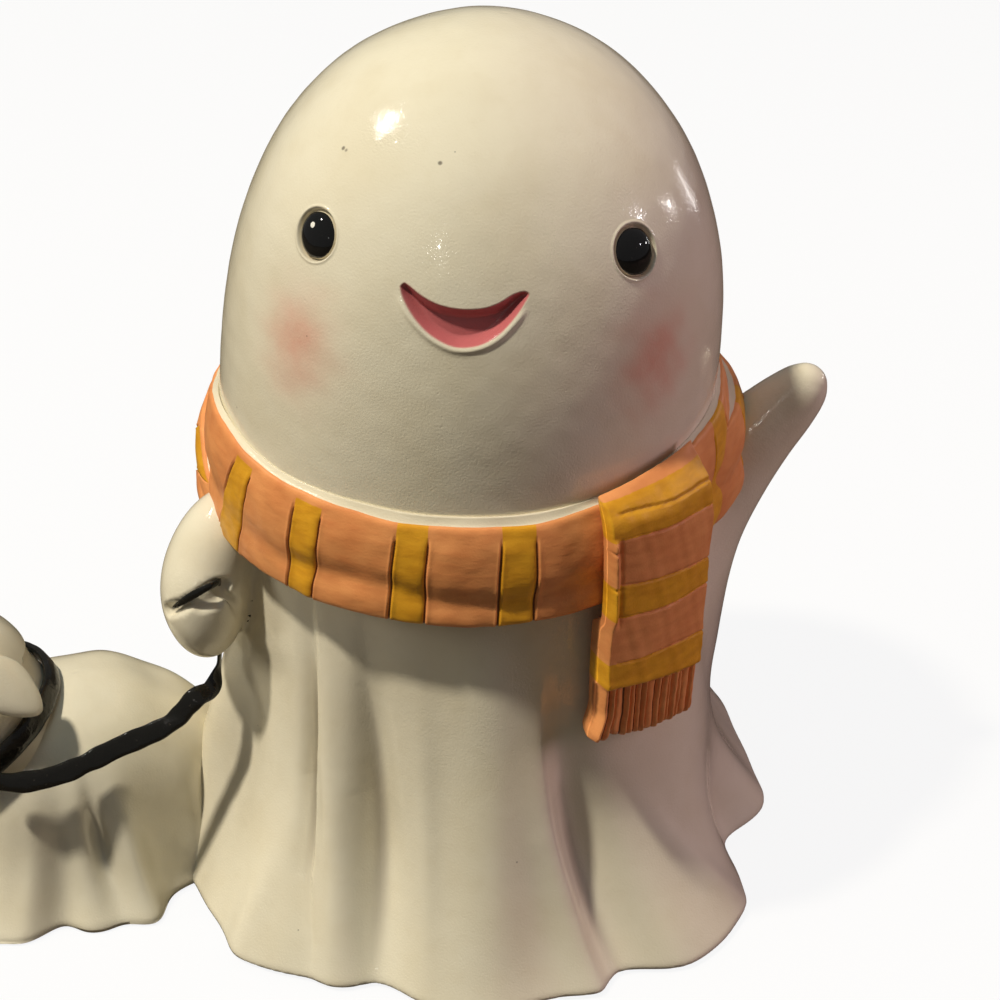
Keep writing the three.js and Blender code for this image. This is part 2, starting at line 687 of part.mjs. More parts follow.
function dogHeadRadius(up) {
  const share = Math.min(1, Math.max(0, up / DOG_HEAD_LENGTH));
  const neck = DOG_NECK_RADIUS + (DOG_HEAD_RADIUS - DOG_NECK_RADIUS) * smoothStep(share, 0.36, 0.6);
  const dome = Math.max(0, 2 * share - 1);
  return neck * Math.sqrt(Math.max(0, 1 - dome ** DOG_HEAD_POWER));
}

function dogHeadProfile(low, offset, rows) {
  const top = DOG_HEAD_LENGTH + offset;
  const sides = domeLevels(low, top, rows).map((up) => [dogHeadRadius(up - offset) + offset, up]);
  return [[0, low], ...sides, [0, top]];
}

function dogSkull(offset = 0) {
  const skull = solidFrom(turned(dogHeadProfile(0, offset, DOG_HEAD_ROWS), DOG_HEAD_STEPS), dogHeadMatrix);
  const muzzle = beadGeometry(MUZZLE.radius + offset, MUZZLE.reach + offset, MUZZLE.depth + offset);
  muzzle.translate(0, -MUZZLE.out, MUZZLE.up);
  return skull.add(solidFrom(muzzle, dogHeadMatrix));
}

function dogHeadHollow() {
  const profile = dogHeadProfile(-1, -DOG_WALL, DOG_HEAD_INNER_ROWS);
  return solidFrom(turned(profile, DOG_HEAD_STEPS), dogHeadMatrix);
}

function collarSolid(clearance = 0) {
  const inside = DOG_NECK_RADIUS + COLLAR.looseness - clearance;
  const outside = DOG_NECK_RADIUS + COLLAR.looseness + COLLAR.thickness + clearance;
  const low = COLLAR.up - clearance;
  const high = COLLAR.up + COLLAR.height + clearance;
  const profile = [
    [inside, low],
    [outside - COLLAR.edge, low],
    [outside, low + COLLAR.edge],
    [outside, high - COLLAR.edge],
    [outside - COLLAR.edge, high],
    [inside, high],
    [inside, low],
  ];
  return solidFrom(turned(profile, DOG_HEAD_STEPS), dogHeadMatrix);
}

// Frame standing on the dog's head: z outwards and a little up
function onDogHead(azimuth, up, sunk) {
  const place = polar(dogHeadRadius(up) - sunk, azimuth, up);
  const outwards = polar(1, azimuth, DOG_BROW_SLOPE).normalize();
  const right = polar(1, azimuth + 90, 0);
  const lift = new THREE.Vector3().crossVectors(outwards, right);
  const frame = new THREE.Matrix4().makeBasis(right, lift, outwards).setPosition(place);
  return new THREE.Matrix4().multiplyMatrices(dogHeadMatrix, frame);
}

function dogEar(side) {
  const ear = beadGeometry(DOG_EAR.width / 2, DOG_EAR.length / 2, DOG_EAR.thickness / 2);
  ear.translate(0, -DOG_EAR.hang, 0);
  return solidFrom(ear, onDogHead(side * DOG_EAR.azimuth, DOG_EAR.up, -DOG_EAR.stand));
}

function dogEye(side, clearance = 0) {
  const radius = DOG_EYE.radius + clearance;
  return solidFrom(beadGeometry(radius, radius, radius), onDogHead(side * DOG_EYE.azimuth, DOG_EYE.up, DOG_EYE.sunk));
}

function dogNose(clearance = 0) {
  const radius = DOG_NOSE.radius + clearance;
  const nose = beadGeometry(radius, radius, DOG_NOSE.depth + clearance);
  nose.translate(0, -MUZZLE.out - MUZZLE.reach + DOG_NOSE.sunk, MUZZLE.up + DOG_NOSE.lift);
  return solidFrom(nose, dogHeadMatrix);
}

// Assembly
const group = new THREE.Group();
function place(name, geometry, material, matrix = new THREE.Matrix4()) {
  const mesh = new THREE.Mesh(geometry, material);
  mesh.name = name;
  mesh.applyMatrix4(matrix);
  group.add(mesh);
  return mesh;
}

const bodyClear = bodySolid(GAP, 0);
const headClear = headSolid(GAP);
const strapClear = strapSolid(GAP);

// Body with holes for the arm pegs
const pegHoles = [peg(ARM_ROOT, ARM_PEG, GAP), peg(MITT_ROOT, MITT_PEG, GAP)];
const body = cut(bodySolid(0, BODY_WALL), ...pegHoles);
place('body_shell', geometryFrom(body), finish(GLAZED_WHITE, 0.3));

// Head on its neck spigot
const underNeck = new THREE.BoxGeometry(4 * HEAD_RADIUS, 4 * HEAD_RADIUS, 2 * HEAD_SKIRT);
underNeck.translate(0, 0, NECK_SEAT_Z + GAP - HEAD_SKIRT);
const spigotRadius = neckBore() - GAP;
const spigotBore = spigotRadius - SPIGOT_WALL;
const flangeRadius = HEAD_RADIUS - HEAD_WALL / 2 - Math.abs(HEAD_OFFSET_X);
const flangeLow = NECK_SEAT_Z + GAP;
const spigot = turned([
  [spigotBore, NECK_SEAT_Z - SPIGOT_LENGTH],
  [spigotRadius, NECK_SEAT_Z - SPIGOT_LENGTH],
  [spigotRadius, flangeLow],
  [flangeRadius, flangeLow],
  [flangeRadius, flangeLow + SPIGOT_FLANGE],
  [spigotBore, flangeLow + SPIGOT_FLANGE],
  [spigotBore, NECK_SEAT_Z - SPIGOT_LENGTH],
], HEAD_STEPS);
const head = cut(
  headSolid(0),
  headHollow(),
  solidFrom(underNeck),
  eyeSocket(EYE_LEFT, -EYE_ROLL),
  eyeSocket(EYE_RIGHT, EYE_ROLL),
  mouthPocket(),
).add(solidFrom(spigot));
place('head_shell', geometryFrom(head), finish(GLAZED_WHITE, 0.28));

const bead = beadGeometry(EYE_HALF_WIDTH, EYE_HALF_HEIGHT, EYE_HALF_DEPTH);
place('eye_left', geometryFrom(solidFrom(bead)), finish(EYE_BLACK, 0.08), faceFrame(EYE_LEFT, -EYE_ROLL, EYE_SUNK));
place('eye_right', geometryFrom(solidFrom(bead)), finish(EYE_BLACK, 0.08), faceFrame(EYE_RIGHT, EYE_ROLL, EYE_SUNK));

// Scarf
const neckWrapClear = neckWrap(GAP);
const backWrapClear = backWrap(GAP);
place('scarf_neck_wrap', geometryFrom(cut(neckWrap(), bodyClear, headClear)), finish(SCARF_ORANGE, 0.5));
place('scarf_back_wrap', geometryFrom(cut(backWrap(), bodyClear, headClear, neckWrapClear)), finish(SCARF_ORANGE, 0.5));
place(
  'scarf_tail',
  geometryFrom(cut(scarfTail(), bodyClear, headClear, neckWrapClear, backWrapClear)),
  finish(SCARF_ORANGE, 0.45),
);

// Arms and strap
const raisedArm = cut(limb(ARM_ROOT, ARM_STOPS), bodyClear, headClear, neckWrapClear, backWrapClear);
place('raised_arm', geometryFrom(raisedArm.add(peg(ARM_ROOT, ARM_PEG))), finish(GLAZED_WHITE, 0.3));
const mitt = cut(limb(MITT_ROOT, MITT_STOPS), bodyClear, headClear, neckWrapClear, backWrapClear);
const leashArm = cut(mitt.add(peg(MITT_ROOT, MITT_PEG)), strapClear);
place('leash_arm', geometryFrom(leashArm), finish(GLAZED_WHITE, 0.3));
place('leash_strap', geometryFrom(strapSolid()), finish(STRAP_BLACK, 0.2));

// Dog
const dogBodyClear = dogBodySolid(GAP, false);
place('dog_body_shell', geometryFrom(cut(dogBodySolid(0, true), bodyClear, strapClear)), finish(GLAZED_WHITE, 0.3));
const dogHead = cut(
  dogSkull(),
  dogHeadHollow(),
  dogBodyClear,
  strapClear,
  dogEye(-1, GAP),
  dogEye(1, GAP),
  dogNose(GAP),
);
place('dog_head_shell', geometryFrom(dogHead), finish(GLAZED_WHITE, 0.3));
place('dog_collar', geometryFrom(cut(collarSolid(), dogBodyClear, strapClear)), finish(STRAP_BLACK, 0.2));
place('dog_nose', geometryFrom(dogNose()), finish(EYE_BLACK, 0.1));
[['left', 1], ['right', -1]].forEach(([hand, side]) => {
  const ear = cut(dogEar(side), dogSkull(GAP), collarSolid(GAP), dogBodyClear);
  place(`dog_ear_${hand}`, geometryFrom(ear), finish(GLAZED_WHITE, 0.3));
  place(`dog_eye_${hand}`, geometryFrom(dogEye(side)), finish(EYE_BLACK, 0.08));
});

// Closing plates and felts
const plateLow = FELT_THICKNESS + GAP;
const plateHigh = plateLow + PLATE_THICKNESS;
const plateProfile = [[0, plateLow], [1, plateLow], [1, plateHigh], [0, plateHigh]];
const bodyPlate = turned(plateProfile, BODY_STEPS, (point, azimuth, row) => {
  const [unit, z] = plateProfile[row];
  if (unit) point.copy(polar(sheetRadius(azimuth, z) - BODY_WALL - GAP, azimuth, z));
});
place('base_plate', geometryFrom(solidFrom(bodyPlate)), finish(GLAZED_WHITE, 0.6));
const dogPlate = turned(plateProfile, DOG_STEPS, (point, azimuth, row) => {
  const [unit, z] = plateProfile[row];
  if (unit) point.copy(dogPoint(azimuth, z, -DOG_WALL - GAP)).setZ(z);
});
place('dog_base_plate', geometryFrom(cut(solidFrom(dogPlate, dogMatrix), bodyClear)), finish(GLAZED_WHITE, 0.6));

function feltDisc(name, radius, x, y) {
  const disc = new THREE.CylinderGeometry(radius, radius, FELT_THICKNESS, FELT_STEPS);
  const lying = new THREE.Matrix4().makeRotationX(Math.PI / 2).setPosition(x, y, FELT_THICKNESS / 2);
  place(name, geometryFrom(solidFrom(disc)), finish(FELT_GREY, 0.95), lying);
}
feltDisc('base_felt', FELT_RADIUS, 0, 0);
feltDisc('dog_felt', DOG_FELT_RADIUS, ...DOG_CENTRE);

export default group;
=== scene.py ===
"""Looks of the ghost figurine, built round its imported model: meshes, finishes, lights and camera."""

import enum
import logging
import math
from dataclasses import dataclass, field
from typing import Any, Callable, Sequence

import bpy
import numpy as np
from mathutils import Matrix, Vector


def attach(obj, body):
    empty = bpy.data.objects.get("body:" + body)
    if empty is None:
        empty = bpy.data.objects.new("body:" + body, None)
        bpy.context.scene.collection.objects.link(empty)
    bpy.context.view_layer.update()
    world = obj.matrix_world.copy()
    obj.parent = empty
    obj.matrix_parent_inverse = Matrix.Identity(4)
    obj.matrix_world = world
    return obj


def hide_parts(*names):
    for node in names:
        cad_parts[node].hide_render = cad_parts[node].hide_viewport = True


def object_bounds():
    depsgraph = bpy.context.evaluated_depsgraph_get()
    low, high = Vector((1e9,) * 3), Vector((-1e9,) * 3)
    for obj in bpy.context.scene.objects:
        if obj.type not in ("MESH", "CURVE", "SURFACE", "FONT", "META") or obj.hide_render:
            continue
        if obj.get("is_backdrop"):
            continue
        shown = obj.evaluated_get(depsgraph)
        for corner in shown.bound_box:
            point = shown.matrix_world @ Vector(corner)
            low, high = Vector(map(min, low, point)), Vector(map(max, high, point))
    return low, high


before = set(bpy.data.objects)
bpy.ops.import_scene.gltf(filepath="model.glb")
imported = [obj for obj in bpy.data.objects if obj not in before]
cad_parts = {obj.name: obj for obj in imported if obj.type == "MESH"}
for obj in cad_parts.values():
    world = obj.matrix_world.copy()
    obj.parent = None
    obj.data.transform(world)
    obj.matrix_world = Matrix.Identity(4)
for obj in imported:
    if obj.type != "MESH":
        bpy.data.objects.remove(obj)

CAD_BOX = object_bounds()
LOG = logging.getLogger("ghost figurine")

Array = np.ndarray
Triple = tuple[float, float, float]
Field = Callable[[Array], Array]

# Lengths are in millimetres until a mesh or a lamp is made
MM = 0.001
ROOT = "root"
NECK_LINE = 165.5
NECK_SEAT = 151.0
HEM_LIFT = 1.0
NECK_RADIUS = 76.0
SCARF_CENTRE = -3.0
WHITE = (1.0, 1.0, 1.0, 1.0)


class Slot(enum.Enum):
    """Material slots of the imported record."""

    GLAZE = "white_glaze"
    ENAMEL = "black_gloss"
    SCARF = "scarf_paint"
    STRAP = "strap_paint"
    CASTING = "bare_casting"
    FELT = "felt"


class Mask(enum.Enum):
    """Painted or worn places, and painted shade, kept as one value per vertex."""

    BLUSH = "blush"
    MOUTH = "mouth_paint"
    STRIPE = "stripe"
    GROOVE_AND_GAP_SHADE = "groove"
    BARE = "bare"
    DOT = "dot"
    PAINTED_SHADE = "painted_shade"


# Plain shape maths
def smooth(value: Array, low: float, high: float) -> Array:
    """Soft step.

    Args:
        value: what is stepped.
        low: where the step starts.
        high: where it ends.

    Returns:
        0 before low, 1 after high.
    """
    share = np.clip((np.asarray(value, float) - low) / (high - low), 0.0, 1.0)
    return share * share * (3.0 - 2.0 * share)


def hump(value: Array) -> Array:
    """Bell curve that is 1 in the middle."""
    return np.exp(-np.square(value))


def turn(centre: Array, azimuth: Array) -> Array:
    """Shortest turn in degrees from centre to azimuth."""
    return (azimuth - centre + 540.0) % 360.0 - 180.0


def soft_join(first: Array, second: Array, reach: float) -> Array:
    """Union of two fields with a fillet.

    Args:
        first: a field, negative inside.
        second: another field.
        reach: size of the fillet.

    Returns:
        The joined field.
    """
    near = np.clip(reach - np.abs(first - second), 0.0, None) / reach
    return np.minimum(first, second) - near * near * reach * 0.25


def soft_cut(solid: Array, tool: Array, reach: float) -> Array:
    """Solid with the tool taken away, its edges rounded.

    Args:
        solid: the field that is cut.
        tool: the field of what is taken away.
        reach: size of the rounding.

    Returns:
        The cut field.
    """
    return -soft_join(-solid, tool, reach)


def around(radius: Array, azimuth: Array, height: Array, centre: float = 0.0) -> Array:
    """Points at a radius and azimuth; azimuth 0 faces -Y and 90 faces +X.

    Args:
        radius: distance from the axis.
        azimuth: degrees.
        height: Z.
        centre: X of the axis.

    Returns:
        Points, the last axis being X, Y and Z.
    """
    angle = np.radians(azimuth)
    x, y, z = np.broadcast_arrays(centre + radius * np.sin(angle), -radius * np.cos(angle), height)
    return np.stack([x, y, z], axis=-1)


def ripple(points: Array, wavelength: float, seed: int) -> Array:
    """Gentle unevenness, as a hand leaves it.

    Args:
        points: where it is wanted.
        wavelength: rough distance between swells.
        seed: picks one unevenness.

    Returns:
        Values of about -1 to 1.
    """
    dice = np.random.default_rng(seed)
    total = np.zeros(points.shape[:-1])
    waves = 7
    for _ in range(waves):
        direction = dice.normal(size=3)
        direction *= dice.uniform(0.7, 1.4) / np.linalg.norm(direction)
        total += np.sin(points @ direction * (2.0 * math.pi / wavelength) + dice.uniform(0.0, 6.28))
    return total / math.sqrt(2.0 * waves)


def curve_through(stops: Array, count: int) -> Array:
    """Centripetal curve through stops.

    Args:
        stops: one row for each stop.
        count: points wanted between the first and last stop.

    Returns:
        Points, spread evenly over the stops.
    """
    stops = np.asarray(stops, float)
    padded = np.vstack([2.0 * stops[0] - stops[1], stops, 2.0 * stops[-1] - stops[-2]])
    places = np.linspace(0.0, len(stops) - 1.000001, count)
    span = places.astype(int)
    share = (places - span)[:, None]
    p0, p1, p2, p3 = (padded[span + k] for k in range(4))
    pairs = ((p0, p1), (p1, p2), (p2, p3))
    knots = [np.maximum(np.linalg.norm(b - a, axis=1), 1e-6) ** 0.5 for a, b in pairs]
    d0, d1, d2 = (knot[:, None] for knot in knots)
    leave = ((p1 - p0) / d0 - (p2 - p0) / (d0 + d1) + (p2 - p1) / d1) * d1
    arrive = ((p2 - p1) / d1 - (p3 - p1) / (d1 + d2) + (p3 - p2) / d2) * d1
    square, cube = share * share, share * share * share
    return (
        (2.0 * cube - 3.0 * square + 1.0) * p1
        + (cube - 2.0 * square + share) * leave
        + (3.0 * square - 2.0 * cube) * p2
        + (cube - square) * arrive
    )


def along(stops: Sequence[tuple[float, float]], value: Array, loop: float = 0.0) -> Array:
    """Value read off a few measured stops.

    Args:
        stops: pairs of place and value, in order of place.
        value: the places that are asked for.
        loop: length after which the places repeat, or 0.

    Returns:
        The smooth value at each place.
    """
    places, levels = np.array(stops, float).T
    if loop:
        places = np.concatenate([places[-2:] - loop, places, places[:2] + loop])
        levels = np.concatenate([levels[-2:], levels, levels[:2]])
    slopes = np.gradient(levels, places)
    span = np.clip(np.searchsorted(places, value) - 1, 0, len(places) - 2)
    width = places[span + 1] - places[span]
    share = np.clip((value - places[span]) / width, 0.0, 1.0)
    square, cube = share * share, share * share * share
    return (
        (2.0 * cube - 3.0 * square + 1.0) * levels[span]
        + (cube - 2.0 * square + share) * slopes[span] * width
        + (3.0 * square - 2.0 * cube) * levels[span + 1]
        + (cube - square) * slopes[span + 1] * width
    )


def unit(vector: Sequence[float]) -> Array:
    """Vector of length 1."""
    values = np.asarray(vector, float)
    return values / np.linalg.norm(values)


def outline_distance(points: Array, outline: Array) -> Array:
    """Signed distance in a plane to a closed outline.

    Args:
        points: (n, 2) places.
        outline: (m, 2) corners in order.

    Returns:
        Distances, positive inside.
    """
    inside = np.zeros(len(points), bool)
    nearest = np.full(len(points), 1e9)
    for start, end in zip(outline, np.roll(outline, -1, axis=0)):
        side = end - start
        share = np.clip((points - start) @ side / (side @ side), 0.0, 1.0)
        nearest = np.minimum(nearest, np.linalg.norm(points - start - share[:, None] * side, axis=1))
        crosses = (start[1] > points[:, 1]) != (end[1] > points[:, 1])
        slope = np.where(crosses, (points[:, 1] - start[1]) / (side[1] if side[1] else 1e-9), 0.0)
        inside ^= crosses & (points[:, 0] < start[0] + slope * side[0])
    return np.where(inside, nearest, -nearest)


# Meshes
def wrap_field(shape: Field, low: Triple, high: Triple, cell: float) -> tuple[Array, Array]:
    """Closed quad mesh round the inside of a field.

    Args:
        shape: field, negative inside.
        low: lowest corner of the block that is searched.
        high: highest corner.
        cell: size of a mesh face.

    Returns:
        Points and quads.
    """
    step = 4
    blocks = [int(math.ceil((b - a) / (step * cell))) for a, b in zip(low, high)]
    fine = [low[i] + cell * np.arange(step * blocks[i] + 1) for i in range(3)]
    coarse = np.stack(np.meshgrid(*[axis[::step] for axis in fine], indexing="ij"), axis=-1)
    values = shape(coarse.reshape(-1, 3)).reshape(coarse.shape[:3])
    for axis in range(3):
        place = np.arange(step * blocks[axis] + 1) / step
        start = np.minimum(place.astype(int), blocks[axis] - 1)
        share = (place - start).reshape([-1 if k == axis else 1 for k in range(3)])
        values = values.take(start, axis) * (1.0 - share) + values.take(start + 1, axis) * share
    near = np.argwhere(np.abs(values) < 3.0 * cell + 2.0)
    values[tuple(near.T)] = shape(np.stack([fine[i][near[:, i]] for i in range(3)], axis=1))
    inside = values < 0.0
    corners = [(i, j, k) for i in (0, 1) for j in (0, 1) for k in (0, 1)]
    size = tuple(n - 1 for n in inside.shape)
    filled = sum(
        inside[i : i + size[0], j : j + size[1], k : k + size[2]].astype(np.int8) for i, j, k in corners
    )
    active = (filled > 0) & (filled < 8)
    cells = np.argwhere(active)
    number = np.full(size, -1)
    number[active] = np.arange(len(cells))
    total = np.zeros((len(cells), 3))
    count = np.zeros(len(cells))
    for a in corners:
        for axis in range(3):
            if a[axis]:
                continue
            b = tuple(1 if k == axis else a[k] for k in range(3))
            value_a = values[tuple((cells + a).T)]
            value_b = values[tuple((cells + b).T)]
            crossed = (value_a < 0.0) != (value_b < 0.0)
            share = np.where(crossed, value_a / np.where(crossed, value_a - value_b, 1.0), 0.0)
            place = cells + np.array(a, float)
            place[:, axis] += share
            total += np.where(crossed[:, None], place, 0.0)
            count += crossed
    points = np.array(low) + cell * total / count[:, None]
    quads = []
    for axis in range(3):
        across, up = (axis + 1) % 3, (axis + 2) % 3
        edge = np.argwhere(np.diff(inside.astype(np.int8), axis=axis) != 0)
        back_across = np.eye(3, dtype=int)[across]
        back_up = np.eye(3, dtype=int)[up]
        ring = [edge - back_across - back_up, edge - back_up, edge, edge - back_across]
        quad = np.stack([number[tuple(place.T)] for place in ring], axis=1)
        outward = inside[tuple(edge.T)]
        quads.append(np.where(outward[:, None], quad, quad[:, ::-1]))
    return points, np.concatenate(quads)


def slope_of(shape: Field, points: Array, step: float = 0.15) -> tuple[Array, Array]:
    """Value and slope of a field.

    Args:
        shape: the field.
        points: where it is read.
        step: how far apart it is read.

    Returns:
        Values, and slopes of unit-free size.
    """
    value = shape(points)
    moved = [(shape(points + step * axis) - value) / step for axis in np.eye(3)]
    return value, np.stack(moved, axis=1)


def settle(shape: Field, points: Array, rounds: int = 2) -> tuple[Array, Array]:
    """Points moved on to the surface of a field.

    Args:
        shape: the field.
        points: places near its surface.
        rounds: how often they are moved.

    Returns:
        Points on the surface, and the way the surface faces there.
    """
    for _ in range(rounds):
        value, slope = slope_of(shape, points)
        length = np.maximum((slope * slope).sum(axis=1), 0.25)
        points = points - np.clip(value / length, -1.0, 1.0)[:, None] * slope
    _, slope = slope_of(shape, points)
    return points, slope / np.maximum(np.linalg.norm(slope, axis=1), 1e-6)[:, None]


def grid_faces(rows: int, columns: int, ring: bool = True, loop: bool = False) -> Array:
    """Quads of a grid of points that is stored row by row.

    Args:
        rows: rows of points.
        columns: points in a row.
        ring: whether the last column meets the first.
        loop: whether the last row meets the first.

    Returns:
        Quads.
    """
    row = np.arange(rows if loop else rows - 1)[:, None]
    column = np.arange(columns if ring else columns - 1)[None, :]
    beside, above = (column + 1) % columns, (row + 1) % rows
    here, there = row * columns, above * columns
    corners = [here + column, here + beside, there + beside, there + column]
    return np.stack([np.broadcast_to(c, (row.size, column.size)) for c in corners], axis=-1).reshape(-1, 4)


def fan(ring: Array, tip: int, flip: bool = False) -> Array:
    """Triangles from a ring of points to a tip.

    Args:
        ring: point numbers in order.
        tip: number of the tip.
        flip: whether the fan faces the other way.

    Returns:
        Triangles.
    """
    after = np.roll(ring, -1)
    middle = np.full(len(ring), tip)
    return np.stack([after, ring, middle] if flip else [ring, after, middle], axis=1)


def ball(rings: int, sides: int) -> tuple[Array, list[Array]]:
    """Round shape of radius 1 with its poles on the last axis.

    Args:
        rings: rings of points between the poles.
        sides: points in a ring.

    Returns:
        Points, and faces that look outward.
    """
    polar = np.linspace(0.0, math.pi, rings + 2)[1:-1, None]
    about = np.linspace(0.0, 2.0 * math.pi, sides, endpoint=False)[None, :]
    parts = np.broadcast_arrays(np.sin(polar) * np.cos(about), np.sin(polar) * np.sin(about), np.cos(polar))
    points = np.vstack([np.stack(parts, axis=-1).reshape(-1, 3), [[0.0, 0.0, 1.0], [0.0, 0.0, -1.0]]])
    count = rings * sides
    foot = fan(np.arange(sides) + count - sides, count + 1, True)
    return points, [grid_faces(rings, sides)[:, ::-1], fan(np.arange(sides), count), foot]


def make_piece(
    name: str,
    points: Array,
    faces: Sequence[Array],
    masks: dict[Mask, Array] | None = None,
    facing: Array | None = None,
) -> bpy.types.Object:
    """One smooth mesh object in the row frame.

    Args:
        name: name of the piece.
        points: places in millimetres.
        faces: arrays of quads and triangles.
        masks: a value for each point, by mask.
        facing: normal at each point, where the mesh must not work it out.

    Returns:
        The object.
    """
    mesh = bpy.data.meshes.new(name)
    mesh.from_pydata((points * MM).tolist(), [], [face for part in faces for face in part.tolist()])
    mesh.polygons.foreach_set("use_smooth", np.ones(len(mesh.polygons), bool))
    for mask, values in (masks or {}).items():
        layer = mesh.attributes.new(mask.value, "FLOAT", "POINT")
        layer.data.foreach_set("value", np.asarray(values, np.float32).ravel())
    if facing is not None:
        mesh.normals_split_custom_set_from_vertices(facing.tolist())
    mesh.update()
    piece = bpy.data.objects.new(name, mesh)
    bpy.context.scene.collection.objects.link(piece)
    return piece


def mount(piece: bpy.types.Object, node: str, slot: Slot, finish: bpy.types.Material) -> None:
    """Puts a piece in its CAD node's place with its finish.

    Args:
        piece: the new mesh.
        node: the CAD node that it stands for.
        slot: its slot in the record; not used.
        finish: its material.
    """
    piece.data.materials.append(finish)
    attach(piece, ROOT)
    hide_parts(node)
    LOG.info("%s stands for %s with %d faces", piece.name, node, len(piece.data.polygons))


# Shader maths
class Channel:
    """A socket of a material; sums and products of channels add Math nodes."""

    def __init__(self, paint: "Paint", socket: bpy.types.NodeSocket) -> None:
        """Keeps the material and the socket."""
        self.paint = paint
        self.socket = socket

    def _maths(self, operation: str, first: Any, second: Any) -> "Channel":
        """One Math node's result."""
        made = self.paint.node("ShaderNodeMath", {"operation": operation}, {0: first, 1: second})
        return Channel(self.paint, made.outputs[0])

    def __add__(self, other: Any) -> "Channel":
        """Sum."""
        return self._maths("ADD", self, other)

    def __radd__(self, other: Any) -> "Channel":
        """Sum with a number in front."""
        return self._maths("ADD", other, self)

    def __sub__(self, other: Any) -> "Channel":
        """Difference."""
        return self._maths("SUBTRACT", self, other)

    def __rsub__(self, other: Any) -> "Channel":
        """Difference from a number."""
        return self._maths("SUBTRACT", other, self)

    def __mul__(self, other: Any) -> "Channel":
        """Product."""
        return self._maths("MULTIPLY", self, other)

    def __rmul__(self, other: Any) -> "Channel":
        """Product with a number in front."""
        return self._maths("MULTIPLY", other, self)

    def __or__(self, other: Any) -> "Channel":
        """The greater of two."""
        return self._maths("MAXIMUM", self, other)

    def step(self, low: float, high: float) -> "Channel":
        """Soft step from 0 at low to 1 at high.

        Args:
            low: where it starts.
            high: where it ends.

        Returns:
            The stepped channel.
        """
        made = self.paint.node(
            "ShaderNodeMapRange",
            {"interpolation_type": "SMOOTHSTEP"},
            {"Value": self, "From Min": low, "From Max": high, "To Min": 0.0, "To Max": 1.0},
        )
        return Channel(self.paint, made.outputs["Result"])


